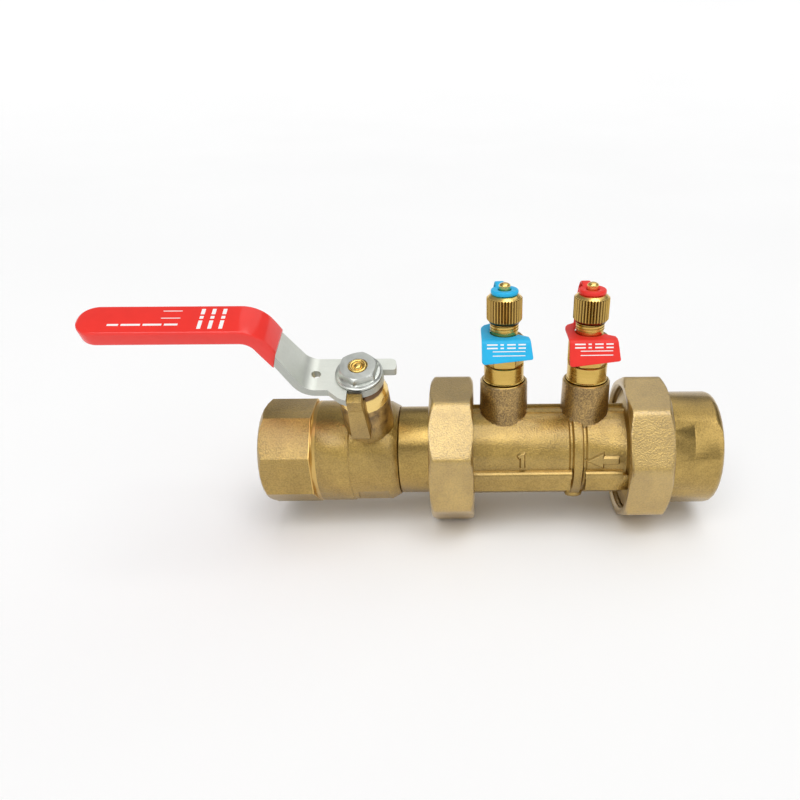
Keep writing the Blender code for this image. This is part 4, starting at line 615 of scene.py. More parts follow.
def strip_section(half_width, half_thickness, edge, steps):
    """The section of a strip with rounded corners."""
    corners = ((1, 1), (-1, 1), (-1, -1), (1, -1))
    middles = [((half_width - edge) * across, (half_thickness - edge) * up) for across, up in corners]
    return quarters(middles, edge, steps)


def helix(pitch, rounds, steps, fading=1.0):
    """A thread's steps: each one's angle, its advance, and its height's share, which fades at both ends."""
    total = rounds * steps
    for i in range(total + 1):
        fade = min(1.0, i / steps * fading, (total - i) / steps * fading)
        yield math.tau * i / steps, pitch * i / steps, fade


def merge(obj, other):
    """Adds another piece's mesh to obj's, and removes the other."""
    form = bmesh.new()
    form.from_mesh(obj.data)
    form.from_mesh(other.data)
    form.to_mesh(obj.data)
    form.free()
    bpy.data.objects.remove(other)


def bake(obj):
    """Applies an object's modifiers to its mesh."""
    graph = bpy.context.evaluated_depsgraph_get()
    mesh = bpy.data.meshes.new_from_object(obj.evaluated_get(graph))
    obj.modifiers.clear()
    obj.data = mesh


def cad_form(name):
    """An edited form of a CAD node's mesh, with its facets joined."""
    form = bmesh.new()
    form.from_mesh(NODES[name].data)
    bmesh.ops.remove_doubles(form, verts=form.verts, dist=WELD)
    return form


def cut(form, point, normal, clear=False):
    """Cuts an edited form along a plane, and clears what is past it where that is asked."""
    everything = form.verts[:] + form.edges[:] + form.faces[:]
    bmesh.ops.bisect_plane(form, geom=everything, plane_co=point, plane_no=normal, clear_outer=clear)


def port_x(side):
    """Where a test port's axis stands along the pipe."""
    low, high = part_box(f"{side}_port_body")
    return (low.x + high.x) / 2


def knurled_cap(side):
    """A screw cap with straight knurling, chamfered at both ends, and its brass knob."""
    low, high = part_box(f"{side}_port_cap")
    x = (low.x + high.x) / 2
    radius = (high.x - low.x) / 2
    finish = knurled(f"{side}_cap_brass", x, radius)
    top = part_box(f"{side}_port_strap_ring")[0].z - SEAT_GAP
    bore = NECK_RADIUS + SEAT_GAP
    shoulder = radius - CAP_SHOULDER
    count = 4 * KNURL_TEETH
    root = radius - KNURL_DEPTH
    foot_rise = KNURL_DEPTH * (CAP_BEVEL / CAP_SHOULDER)
    head_rise = KNURL_DEPTH * (CAP_HEAD_BEVEL / CAP_SHOULDER)
    foot_crest = low.z + CAP_BEVEL * 0.75
    head_crest = top - CAP_HEAD_BEVEL
    knob_foot = high.z - KNOB_HEIGHT

    def toothed(crest_z, root_z):
        points = []
        for i, a in enumerate(turns(count)):
            share = (1.0, 0.5, 0.0, 0.5)[i % 4]
            r = root + (radius - root) * share
            z = root_z + (crest_z - root_z) * share
            points.append((x + r * math.cos(a), r * math.sin(a), z))
        return points

    foot = (
        (bore, top - CAP_ROOF),
        (bore, low.z + 0.3 * MM),
        (bore + 0.15 * MM, low.z),
        (radius - 1.15 * MM, low.z),
    )
    head = (
        (shoulder + 0.1 * MM, top - 0.1 * MM),
        (shoulder - 0.2 * MM, top),
        (KNOB_NECK, top),
        (KNOB_NECK, knob_foot),
        (KNOB_RADIUS - 0.1 * MM, knob_foot),
    )
    rings = [circle(r, z, count, x) for r, z in foot]
    rings.append(toothed(foot_crest, foot_crest - foot_rise * 0.8))
    rings.append(toothed(head_crest, head_crest + head_rise))
    rings += [circle(r, z, count, x) for r, z in head]
    dome = 7
    for i in range(dome):
        a = math.pi / 2 * i / dome
        z = high.z - KNOB_HEIGHT * 0.8 * (1 - math.sin(a))
        rings.append(circle(KNOB_RADIUS * math.cos(a), z, count, x))
    cap = skin_over(f"{side}_knurled_cap", rings, finish, 28)
    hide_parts(f"{side}_port_cap")
    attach(cap, f"{side}_cap")


def neck_thread(side, finish):
    """The thread on a port's neck: a helix that stands on it and runs out at both ends."""
    x = port_x(side)
    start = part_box(f"{side}_port_body")[1].z - THREAD_LENGTH
    base = NECK_RADIUS - 0.15 * MM
    rings = []
    for a, climb, fade in helix(THREAD_PITCH, 9, 28, 1.5):
        z = start + climb
        crest = NECK_RADIUS + THREAD_RISE * fade
        section = [(base, -0.4), (crest, -0.08), (crest, 0.08), (base, 0.4)]
        rings.append([(x + r * math.cos(a), r * math.sin(a), z + h * THREAD_PITCH) for r, h in section])
    thread = skin_over(f"{side}_neck_thread", rings, finish, 40)
    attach(thread, "housing")


def tag_outline(side):
    """The tag from above, before its flap is bent: a hook that passes left of the port's neck and
    turns behind it."""
    left = -TAG_HALF_WIDTH
    left_front, right_front = (-(TAG_FOLD + flap) for flap in TAG_FLAP[side])
    corner = 1.2 * MM
    points = arc((left + corner, left_front + corner), corner, 180, 270, 4)
    points += arc((TAG_HALF_WIDTH + 0.8 * MM, right_front + 0.6 * MM), 0.6 * MM, 270, 360, 3)
    points += [(TAG_HALF_WIDTH + 0.2 * MM, -5.0 * MM)]
    points += arc((0.0, 0.0), NECK_RADIUS + SEAT_GAP, -25, -185, 22)
    inner = [(-5.2, 3.0), (-4.4, 5.0), (-1.7, 6.6)]
    outer = [(-1.7, 9.4), (-5.0, 9.4), (-7.2, 7.8), (-8.2, 5.8)]
    points += [(x * MM, y * MM) for x, y in inner + outer]
    points += [(left, 4.0 * MM)]
    return points


def bend_down(form):
    """Bends what lies in front of the tag's fold down round a small radius."""
    angle = TAG_FLAP_ANGLE
    radius = TAG_FOLD_RADIUS
    for vert in form.verts:
        past = -vert.co.y - TAG_FOLD_START
        if past <= 0.0:
            continue
        turned_by = min(past / radius, angle)
        beyond = max(past - radius * angle, 0.0)
        height = vert.co.z
        y = radius * math.sin(turned_by) + beyond * math.cos(angle)
        z = -radius * (1 - math.cos(turned_by)) - beyond * math.sin(angle)
        vert.co.y = -TAG_FOLD_START - y - height * math.sin(turned_by)
        vert.co.z = z + height * math.cos(turned_by)


def lift(form, height):
    bmesh.ops.translate(form, vec=(0.0, 0.0, height), verts=form.verts)


def slab(outline, thickness):
    """A closed flat slab with this outline, half its thickness on each side of z = 0."""
    form = bmesh.new()
    face = form.faces.new([form.verts.new((x, y, -thickness / 2)) for x, y in outline])
    extruded = bmesh.ops.extrude_face_region(form, geom=[face])
    top = [item for item in extruded["geom"] if isinstance(item, bmesh.types.BMVert)]
    bmesh.ops.translate(form, vec=(0.0, 0.0, thickness), verts=top)
    return form


def print_strips(strips, forward=0.0):
    """Thin printed strips, each between its low and its high corner in millimetres, all moved forward."""
    form = bmesh.new()
    for x_low, y_low, x_high, y_high in strips:
        corners = [(x_low, y_low), (x_high, y_low), (x_high, y_high), (x_low, y_high)]
        strip = slab([(x * MM, y * MM - forward) for x, y in corners], PRINT_THICKNESS)
        mesh = bpy.data.meshes.new("strip")
        strip.to_mesh(mesh)
        strip.free()
        form.from_mesh(mesh)
        bpy.data.meshes.remove(mesh)
    return form


def tag_rules(side, axis, tag_z, finish):
    """Plain white rules printed on a tag's flap: two rows of dashes over two long rules."""
    dashes = ((-6.6, -2.8), (-1.8, -0.6), (0.6, 3.6), (4.6, 7.2))
    lines = [(start, end, y, 0.5) for y in (2.0, 3.2) for start, end in dashes]
    lines += [(-4.6, 7.0, 4.4, 0.3), (-4.6, 7.0, 5.9, 0.3)]
    strips = [(start, -y - width / 2, end, -y + width / 2) for start, end, y, width in lines]
    form = print_strips(strips, TAG_FOLD_START)
    lift(form, TAG_THICKNESS / 2 + PRINT_LIFT)
    bend_down(form)
    lift(form, tag_z)
    name = f"{side}_tag_rules"
    rules = add_piece(name, mesh_of(name, form), finish, 30)
    rules.data.transform(axis)
    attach(rules, "housing")


def strap(tag_z, ring_z, finish):
    """The strap between tag and ring: from the back of the tag it climbs behind the cap, bows over and
    comes down on the ring."""
    bends = [
        Vector((-3.2 * MM, 7.8 * MM, tag_z)),
        Vector((-2.6 * MM, 11.8 * MM, tag_z + 0.5 * MM)),
        Vector((-1.9 * MM, 11.6 * MM, ring_z + 6.0 * MM)),
        Vector((-1.3 * MM, 3.4 * MM, ring_z)),
    ]
    steps = 26
    line = []
    for i in range(steps + 1):
        s = i / steps
        weights = ((1 - s) ** 3, 3 * s * (1 - s) ** 2, 3 * s * s * (1 - s), s ** 3)
        line.append(sum((bend * weight for bend, weight in zip(bends, weights)), Vector()))
    section = strip_section(STRAP_WIDTH / 2, TAG_THICKNESS / 2, 0.3 * MM, 2)
    rings = []
    for i, point in enumerate(line):
        along = (line[min(i + 1, steps)] - line[max(i - 1, 0)]).normalized()
        up = Vector((1, 0, 0)).cross(along).normalized()
        side = along.cross(up).normalized()
        rings.append([point + side * u + up * v for u, v in section])
    return skin_over("strap", rings, finish)


def strap_ring(low, high, finish):
    """The ring round a cap's knob, between the corners of the CAD ring's box."""
    soft = 0.6 * MM
    outer = (high.x - low.x) / 2 - soft
    inner = KNOB_NECK + SEAT_GAP + soft
    top = high.z - soft
    bottom = low.z + soft
    section = quarters(((outer, top), (inner, top), (inner, bottom), (outer, bottom)), soft, 4)
    return skin_over("ring", [circle(r, z - RING_DROP, 48) for r, z in section], finish, close=True)


def leash(side, finish, ink):
    """The soft moulding that keeps a cap on its port: tag, strap and ring in one piece."""
    axis = Matrix.Translation((port_x(side), 0.0, 0.0)) @ Matrix.Rotation(TAG_TURN, 4, "Z")
    tag_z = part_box(f"{side}_port_tag")[1].z - TAG_THICKNESS / 2
    ring_low, ring_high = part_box(f"{side}_port_strap_ring")
    name = f"{side}_leash"
    form = slab(tag_outline(side), TAG_THICKNESS)
    steps = 6
    for i in range(steps + 1):
        line = -(TAG_FOLD_START + TAG_FOLD_RADIUS * TAG_FLAP_ANGLE * i / steps)
        cut(form, (0.0, line, 0.0), (0.0, 1.0, 0.0))
    bend_down(form)
    lift(form, tag_z)
    bmesh.ops.triangulate(form, faces=form.faces)
    tag = add_piece(name, mesh_of(name, form), finish)
    merge(tag, strap(tag_z, (ring_low.z + ring_high.z) / 2, finish))
    merge(tag, strap_ring(ring_low, ring_high, finish))
    remesh = tag.modifiers.new("one_skin", "REMESH")
    remesh.mode = "VOXEL"
    remesh.voxel_size = LEASH_VOXEL
    relax = tag.modifiers.new("relax", "SMOOTH")
    relax.factor = 0.5
    relax.iterations = 4
    bake(tag)
    tag.data.transform(axis)
    smooth(tag.data)
    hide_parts(f"{side}_port_tag", f"{side}_port_strap", f"{side}_port_strap_ring")
    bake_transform(tag)
    tag_rules(side, axis, tag_z, ink)


def softmin(values, softness):
    """The least of the values, with the corner where two are equal rounded off."""
    least = min(values)
    return least - softness * math.log(sum(math.exp((least - value) / softness) for value in values))


def nut_radii(angles, flat, corners, phase, softness, cones, rim):
    """A nut's radii at some angles, at one height: within its prism, whose corners are softened and
    whose phase is the angle of a corner, and within its chamfers' cones, which meet it in a soft rim."""
    half = math.pi / corners
    radii = []
    for a in angles:
        walls = [flat / max(math.cos(a - phase - half * (2 * i + 1)), 0.2) for i in range(corners)]
        radii.append(softmin([softmin(walls, softness), *cones], rim))
    return radii


def corner_rise(flat, corners):
    """By how much a prism's corners stand out past its flats."""
    return flat * (1 / math.cos(math.pi / corners) - 1)


def union_nut(side, inwards, finish):
    """An octagonal union nut with soft corners, turned chamfers and the thread in its skirt."""
    low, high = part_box(f"{side}_nut")
    start = low.x if inwards > 0 else high.x
    length = high.x - low.x
    bore = NUT_BACK_BORE[side]
    flat = NUT_FLATS / 2
    rise = corner_rise(flat, 8)
    angles = turns(176)
    rings = []

    def ring(x, radii):
        """Adds a ring at a distance from the nut's back face."""
        place = start + inwards * x
        rings.append([(place, r * math.cos(a), r * math.sin(a)) for a, r in zip(angles, radii)])

    def plain(x, radius):
        ring(x, [radius] * len(angles))

    def outside(x, less=0.0):
        cones = [flat + rise * x / NUT_BACK_CHAMFER, flat + rise * (length - x) / NUT_OPEN_CHAMFER]
        radii = nut_radii(angles, flat, 8, NUT_PHASE[side], 0.4 * MM, cones, 0.2 * MM)
        ring(x, [radius - less for radius in radii])

    plain(NUT_LIP, bore)
    plain(0.4 * MM, bore)
    plain(0.0, bore + 0.4 * MM)
    outside(0.0, 0.4 * MM)
    for place in (0.1, 0.4, 0.8, 1.3, 1.9, 2.6, 4.0, 6.5, 9.0, 11.0):
        outside(place * MM)
    for depth in (4.2, 3.4, 2.8, 2.2, 1.6, 1.0, 0.5, 0.12):
        outside((length / MM - depth) * MM)
    outside(length, 0.4 * MM)
    plain(length, NUT_BORE + 1.1 * MM)
    plain(length - 0.9 * MM, NUT_BORE + 0.1 * MM)
    steps = 24
    for i in range(1, steps + 1):
        x = length - 0.9 * MM - 3 * NUT_PITCH * i / steps
        ring(x, [NUT_BORE + 0.12 * MM * (1 + math.cos(a + math.tau * x / NUT_PITCH)) for a in angles])
    plain(NUT_LIP, NUT_BORE)
    nut = skin_over(f"{side}_union_nut", rings, finish, 40, close=True)
    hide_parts(f"{side}_nut")
    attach(nut, f"{side}_union_nut")


def hexagon(z, x, flat, phase, softness, cones, rim):
    """A level ring round a nut's hexagon."""
    angles = turns(120)
    radii = nut_radii(angles, flat, 6, phase, softness, cones, rim)
    return [(x + r * math.cos(a), r * math.sin(a), z) for a, r in zip(angles, radii)]


def port_body(side, finish):
    """A test port's brass body: stud, collar, hexagon with its corners turned off, neck and bore."""
    low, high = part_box(f"{side}_port_body")
    x = port_x(side)
    flat = HEX_FLATS / 2
    rise = corner_rise(flat, 6)
    edge = 0.5 * MM
    lip = BOSS_TOP + 0.1 * MM
    core_foot = high.z - PORT_CORE_LENGTH
    neck = (
        (low.z, PORT_BORE),
        (core_foot, PORT_BORE),
        (core_foot, PORT_CORE_BORE),
        (high.z, PORT_CORE_BORE),
        (high.z, NECK_RADIUS - edge),
        (high.z - edge, NECK_RADIUS),
        (HEX_TOP + 0.02 * MM, NECK_RADIUS),
        (HEX_TOP, flat - 0.4 * MM),
    )
    foot = (
        (HEX_Z - 0.05 * MM, COLLAR_RADIUS - 0.2 * MM),
        (HEX_Z - 0.25 * MM, COLLAR_RADIUS),
        (lip + 0.75 * MM, COLLAR_RADIUS),
        (lip + 0.65 * MM, COLLAR_RADIUS + 0.2 * MM),
        (lip + 0.35 * MM, COLLAR_RADIUS + 0.32 * MM),
        (lip, COLLAR_RADIUS + 0.2 * MM),
        (lip - 0.15 * MM, COLLAR_RADIUS - 0.3 * MM),
        (COLLAR_Z, COLLAR_RADIUS - 0.7 * MM),
        (COLLAR_Z, STUD_RADIUS),
        (low.z + edge, STUD_RADIUS),
        (low.z, STUD_RADIUS - edge),
    )
    levels = [HEX_TOP - depth * MM for depth in (0.0, 0.15, 0.35, 0.6, 1.2, 6.0)]
    levels += [HEX_Z + height * MM for height in (1.2, 0.6, 0.35, 0.15, 0.0)]
    rings = [circle(radius, z, 120, x) for z, radius in neck]
    for z in levels:
        cones = [flat + rise * (z - HEX_Z) / edge, flat + rise * (HEX_TOP - z) / edge]
        rings.append(hexagon(z, x, flat, 0.0, 0.06 * MM, cones, 0.05 * MM))
    rings += [circle(radius, z, 120, x) for z, radius in foot]
    plug = skin_over(f"{side}_port_plug", rings, finish, 26, close=True)
    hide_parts(f"{side}_port_body")
    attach(plug, "housing")


def lever_nut(finish):
    """The lever's flange nut: a thin round flange under a hexagon whose top corners are turned off."""
    foot = LEVER_HEIGHT + PLATE_THICKNESS / 2 + SEAT_GAP
    top = LEVER_NUT_TOP
    flat = LEVER_NUT_FLATS / 2
    rise = corner_rise(flat, 6)
    shoulder = foot + 1.5 * MM
    flange = (
        (0.0, LEVER_NUT_HOLE),
        (0.0, HUB_RADIUS - 0.2 * MM),
        (0.15, HUB_RADIUS),
        (0.55, HUB_RADIUS),
        (0.75, HUB_RADIUS - 0.15 * MM),
        (0.9, HUB_RADIUS - 0.5 * MM),
        (1.35, flat + rise + 0.05 * MM),
    )
    mouth = (
        (top + 0.01 * MM, flat - 0.45 * MM),
        (top + 0.01 * MM, LEVER_NUT_MOUTH + 0.25 * MM),
        (top - 0.25 * MM, LEVER_NUT_MOUTH),
        (top - 0.5 * MM, LEVER_NUT_MOUTH),
        (top - 0.7 * MM, LEVER_NUT_HOLE),
    )
    levels = [shoulder + height * MM for height in (0.0, 0.3, 1.0, 1.6)]
    levels += [top - depth * MM for depth in (0.8, 0.6, 0.4, 0.2, 0.05, 0.0)]
    rings = [circle(radius, foot + height * MM, 120) for height, radius in flange]
    for z in levels:
        cone = flat - 0.15 * MM + rise * (top - z) / (0.6 * MM)
        rings.append(hexagon(z, 0.0, flat, LEVER_NUT_TURN, 0.07 * MM, [cone], 0.08 * MM))
    rings += [circle(radius, z, 120) for z, radius in mouth]
    nut = skin_over("flange_nut", rings, finish, 24, close=True)
    nut.data.transform(STEM)
    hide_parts("lever_nut")
    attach(nut, "lever_and_ball")


def spindle(finish):
    """The stem, cut off inside its nut, where its riveted end begins."""
    form = cad_form("stem")
    level = STEM @ Vector((0.0, 0.0, LEVER_NUT_TOP - 0.8 * MM))
    cut(form, level, STEM.to_3x3() @ Vector((0.0, 0.0, 1.0)), clear=True)
    bmesh.ops.holes_fill(form, edges=[edge for edge in form.edges if edge.is_boundary])
    shaft = add_piece("spindle", mesh_of("spindle", form), finish, 30)
    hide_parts("stem")
    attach(shaft, "lever_and_ball")


def stem_end(finish):
    """The stem's riveted end in its nut: a flush ring round a groove and a small boss."""
    ring = ((3.0, -1.0), (3.05, -0.2), (2.95, 0.05), (2.7, 0.18), (2.35, 0.18), (2.05, 0.0), (1.85, -0.35))
    boss = ((1.55, -0.4), (1.35, -0.15), (1.1, 0.12), (0.7, 0.24), (0.3, 0.28), (0.05, 0.29))
    rings = [circle(radius * MM, LEVER_NUT_TOP + height * MM, 64) for radius, height in ring + boss]
    end = skin_over("stem_end", rings, finish, 50)
    end.data.transform(STEM)
    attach(end, "lever_and_ball")


def coil_spring(finish):
    """The cartridge's spring, which shortens against its seat while the piston slides in."""
    coil = add_piece("coil_spring", mesh_of("coil_spring", cad_form("cartridge_spring")), finish, 50)
    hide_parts("cartridge_spring")
    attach(coil, "housing")
    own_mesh(coil)


def sleeve_line():
    """The sleeve's middle line in the stem's own axes, from its mouth to its outer end."""
    run = STEP_RISE / math.tan(STEP_ANGLE)
    corner = Vector((-STEP_START, LEVER_HEIGHT))
    upper = Vector((-STEP_START - run, LEVER_HEIGHT + STEP_RISE))
    centre = upper + Vector((-SETBACK, -BEND_RADIUS))

    def on_bend(a):
        return Vector((centre.x + BEND_RADIUS * math.sin(a), centre.y + BEND_RADIUS * math.cos(a)))

    mouth = corner.lerp(upper, SLEEVE_CLIMB / STEP_RISE)
    points = [mouth.lerp(on_bend(STEP_ANGLE), share) for share in (0.0, 0.04, 0.3, 0.65)]
    steps = 14
    points += [on_bend(STEP_ANGLE * (1 - i / steps)) for i in range(steps + 1)]
    bend_end = points[-1]
    last = Vector((-SLEEVE_REACH + SLEEVE_HALF_WIDTH, upper.y))
    straight = 10
    points += [bend_end.lerp(last, i / straight) for i in range(1, straight + 1)]
    return points


def upwards(along):
    """The direction square to a line in the lever's own plane, on its upper side."""
    up = Vector((along.y, -along.x))
    return -up if up.y < 0 else up


def sleeve(finish):
    """The dipped red sleeve over the lever's handle, with soft edges and a round end."""
    line = sleeve_line()
    stations = [(point, 1.0, 1.0) for point in line]
    stations[0] = (line[0], 0.98, 0.95)
    steps = 12
    for i in range(1, steps + 1):
        a = math.pi / 2 * i / steps
        point = line[-1] + Vector((-(SLEEVE_HALF_WIDTH * math.sin(a)), 0.0))
        stations.append((point, max(math.cos(a), 0.06), 1 - 0.35 * (i / steps) ** 4))
    rings = []
    reach = (line[3] - line[0]).length
    for i, (point, wide, thick) in enumerate(stations):
        before = stations[max(i - 1, 0)][0]
        after = stations[min(i + 1, len(stations) - 1)][0]
        along = (after - before).normalized() if after != before else Vector((-1.0, 0.0))
        up = upwards(along)
        half_width = SLEEVE_HALF_WIDTH * wide
        half_thick = SLEEVE_HALF_THICKNESS * thick
        edge = min(SLEEVE_EDGE, half_width * 0.8)
        left = max(0.0, 1 - (point - line[0]).length / reach) if i < 4 else 0.0
        half_thick *= 1 - (1 - MOUTH_THICKNESS) * left
        ring = []
        for u, v in strip_section(half_width, half_thick, edge, 4):
            slide = SLEEVE_SLANT * left * (0.5 - u / (2 * SLEEVE_HALF_WIDTH))
            slide -= SLEEVE_LIP * left * (0.5 - v / (2 * half_thick))
            place = point + along * slide + up * v
            ring.append((place.x, u, place.y))
        rings.append(ring)
    grip = skin_over("grip_sleeve", rings, finish, 60)
    grip.data.transform(STEM)
    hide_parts("lever_grip")
    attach(grip, "lever_and_ball")


def bend_up(s, y, n):
    """Carries a point of the flat plate, its distance from the stem, its side and its height
    over the middle, to where the bent plate has it."""
    if s <= FIRST_BEND:
        return Vector((-s, y, LEVER_HEIGHT + n))
    a = min((s - FIRST_BEND) / BEND_RADIUS, STEP_ANGLE)
    height = LEVER_HEIGHT + BEND_RADIUS * (1 - math.cos(a))
    place = Vector((-FIRST_BEND - BEND_RADIUS * math.sin(a), height))
    along = Vector((-math.cos(a), math.sin(a)))
    past = s - FIRST_BEND - BEND_LENGTH
    if past > 0:
        place = place + along * min(past, SLOPE)
    over = past - SLOPE
    if over > 0:
        b = min(over / BEND_RADIUS, STEP_ANGLE)
        c = STEP_ANGLE
        centre = place + BEND_RADIUS * Vector((-math.sin(c), -math.cos(c)))
        place = centre + BEND_RADIUS * Vector((math.sin(c - b), math.cos(c - b)))
        along = Vector((-math.cos(c - b), math.sin(c - b)))
        rest = over - BEND_LENGTH
        if rest > 0:
            place = place + along * rest
    up = upwards(along)
    return Vector((place.x + up.x * n, y, place.y + up.y * n))


def plate_outline():
    """The lever plate laid flat: hub with its ear and stop fan, then the handle. The first
    coordinate runs from the handle's end towards the stem."""
    half = LEVER_WIDTH / 2
    corner = 2.0 * MM
    ear_side = 2.0 * MM
    ear_corner = 0.8 * MM
    stop_side = 3.6 * MM
    fan_turn = math.degrees(math.acos(-stop_side / FAN_RADIUS))
    hub_turn = math.degrees(math.acos(-stop_side / HUB_RADIUS))
    ear_turn = math.degrees(math.asin(ear_side / HUB_RADIUS))
    points = arc((EAR_REACH - corner, half - corner), corner, 90, 0, 5)
    points += arc((EAR_REACH - ear_corner, ear_side + ear_corner), ear_corner, 0, -90, 3)
    points += arc((0.0, 0.0), HUB_RADIUS, ear_turn, -hub_turn, 22)
    points += arc((0.0, 0.0), FAN_RADIUS, -fan_turn, -fan_turn - 14, 4)
    points += [(-FAN_START, -half), (-FAN_START - 8 * MM, -half), (-PLATE_SHOULDER, -PLATE_TAPER)]
    points += [(-PLATE_SHOULDER - 2.0 * MM, -HANDLE_HALF_WIDTH)]
    points += arc((-PLATE_LENGTH + HANDLE_HALF_WIDTH, 0.0), HANDLE_HALF_WIDTH, -90, -270, 12)
    points += [(-PLATE_SHOULDER - 2.0 * MM, HANDLE_HALF_WIDTH), (-PLATE_SHOULDER, PLATE_TAPER)]
    points += [(-FAN_START - 8 * MM, half)]
    return points


def lever_plate(finish):
    """The bent steel lever, cut from plate: its hub, ear, stop fan, hanging hole and handle."""
    form = slab(plate_outline(), PLATE_THICKNESS)
    steps = 12
    for start in (FIRST_BEND, SECOND_BEND):
        for i in range(steps + 1):
            cut(form, (-(start + BEND_LENGTH * i / steps), 0.0, 0.0), (1.0, 0.0, 0.0))
    for vert in form.verts:
        vert.co = bend_up(-vert.co.x, vert.co.y, vert.co.z)
    plate = add_piece("lever_plate", mesh_of("lever_plate", form), finish)
    ends = (LEVER_HEIGHT - 2 * PLATE_THICKNESS, LEVER_HEIGHT + 2 * PLATE_THICKNESS)
    for x, y, radius in LEVER_HOLES:
        drill = skin_over("drill", [circle(radius, z, 40, x, y) for z in ends], finish)
        hole = plate.modifiers.new("cut", "BOOLEAN")
        hole.operation = "DIFFERENCE"
        hole.solver = "EXACT"
        hole.object = drill
        bake(plate)
        bpy.data.objects.remove(drill)
    bevel(plate, 0.35 * MM, 40)
    plate.data.transform(STEM)
    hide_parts("lever")
    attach(plate, "lever_and_ball")


def socket_thread(name, node, outwards, body, finish):
    """The pipe thread inside a socket: a helix on its wall, one pitch from the face inwards."""
    low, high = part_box(node)
    face = high.x if outwards > 0 else low.x
    base = SOCKET_WALL + 0.2 * MM
    rings = []
    for a, depth, fade in helix(SOCKET_PITCH, 8, 48):
        x = face - outwards * (1.6 * MM + depth)
        crest = SOCKET_WALL - 0.9 * MM * fade
        section = [(base, -0.45), (crest, -0.1), (crest, 0.1), (base, 0.45)]
        rings.append([(x + h * SOCKET_PITCH, r * math.cos(a), r * math.sin(a)) for r, h in section])
    thread = skin_over(name, rings, finish, 40)
    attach(thread, body)


def grip_marks(finish):
    """Plain white rules printed on the grip's top: one row along it, and three rows of dashes across it."""
    row = ((-74.5, -71.0), (-70.2, -64.2), (-63.4, -57.6), (-56.8, -52.6))
    dashes = ((-4.4, -0.8), (0.0, 1.2), (2.0, 4.4))
    strips = [(start, -2.9, end, -2.1) for start, end in row]
    strips += [(-58.4, 0.2, -52.4, 0.5), (-58.4, 3.4, -52.4, 3.7)]
    strips += [(x - 0.6, low, x + 0.6, high) for x in (-39.0, -42.4, -45.8) for low, high in dashes]
    form = print_strips(strips)
    lift(form, LEVER_HEIGHT + STEP_RISE + SLEEVE_HALF_THICKNESS + PRINT_LIFT)
    marks = add_piece("grip_marks", mesh_of("grip_marks", form), finish, 30)
    marks.data.transform(STEM)
    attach(marks, "lever_and_ball")


def grown(outline, distance):
    """An outline moved outwards by a distance, with mitred corners. Its points run anticlockwise."""
    points = []
    for i, (x, z) in enumerate(outline):
        here = Vector((x, z))
        first = (here - Vector(outline[i - 1])).normalized()
        second = (Vector(outline[(i + 1) % len(outline)]) - here).normalized()
        out = Vector((first.y + second.y, -first.x - second.x)).normalized()
        sharp = max(out.dot(Vector((first.y, -first.x))), 0.4)
        points.append(tuple(here + out * distance / sharp))
    return points


def raised(name, outline, finish):
    """A cast mark with sloping sides on the barrel's front, its outline in x and z in millimetres."""
    outline = [(x * MM, z * MM) for x, z in outline]
    rings = []
    for rise, spread in ((-0.1, 0.5), (0.62, 0.06), (0.74, -0.1)):
        radius = BARREL_RADIUS + rise * MM
        rings.append([(x, -math.sqrt(radius ** 2 - z ** 2), z) for x, z in grown(outline, spread * MM)])
    mark = skin_over(name, rings, finish, 24)
    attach(mark, "housing")


def rails(finish):
    """The rounded ledge along the top of each pad, in front and behind, on both sides of the bead."""
    section = [(-3.0, -2.4), (0.15, -2.4), (0.15, -1.3), (0.0, -0.7), (-0.4, -0.2), (-1.1, 0.15),
               (-2.2, 0.4)]
    for side, face in (("front", -1), ("back", 1)):
        for name, ends in (("left", (-7.4, 30.3)), ("right", (35.5, 49.6))):
            rings = [[(x * MM, face * (PAD_FRONT + out * MM), z * MM) for out, z in section] for x in ends]
            rail = skin_over(f"{side}_{name}_rail", rings, finish, 70)
            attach(rail, "housing")


def stop_lug(finish):
    """The valve body's cast stop lug, which widens a little towards its round foot."""
    levels = ((25.3, 0.55), (25.6, 0.85), (26.4, 1.0), (33.0, 0.7), (40.5, 0.25), (40.8, 0.1))
    corner = 0.5 * MM
    rings = []
    for height, spread in levels:
        out = spread * MM
        low = (-3.3 * MM - out, -13.2 * MM - out * 0.6)
        high = (1.7 * MM + out, -8.0 * MM)
        ring = [(high[0], high[1]), (low[0], high[1])]
        ring += arc((low[0] + corner, low[1] + corner), corner, 180, 270, 4)
        ring += arc((high[0] - corner, low[1] + corner), corner, 270, 360, 4)
        rings.append([(x, y, height * MM) for x, y in ring])
    lug = skin_over("stop_lug", rings, finish, 35)
    lug.data.transform(STEM)
    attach(lug, "outlet_valve")


def stage():
    """A plain pale floor that rises slowly far round the valve, so that no edge of it shows."""
    ground = CAD_BOX[0][2] - 0.05 * MM
    profile = [(0.5, ground), (1.0, ground)]
    for i in range(1, 9):
        a = FLOOR_RISE * i / 8
        profile.append((1.0 + 4.0 * math.sin(a), ground + 4.0 * (1 - math.cos(a))))
    reach, height = profile[-1]
    profile.append((FLOOR_REACH, height + (FLOOR_REACH - reach) * math.tan(FLOOR_RISE)))
    finish = Finish("floor", roughness=0.9)
    finish.put(Specular_IOR_Level=0.1, Base_Color=finish.ramp(finish.noise(0.3), FLOOR_DARK, FLOOR_LIGHT))
    floor = skin_over("floor", [circle(reach, z, 96) for reach, z in profile], finish, caps=(0,))


def direction(azimuth, elevation):
    """Where something stands, by its angles. The azimuth turns from straight in front towards the right."""
    a = math.radians(azimuth)
    e = math.radians(elevation)
    return Vector((math.sin(a) * math.cos(e), -math.cos(a) * math.cos(e), math.sin(e)))


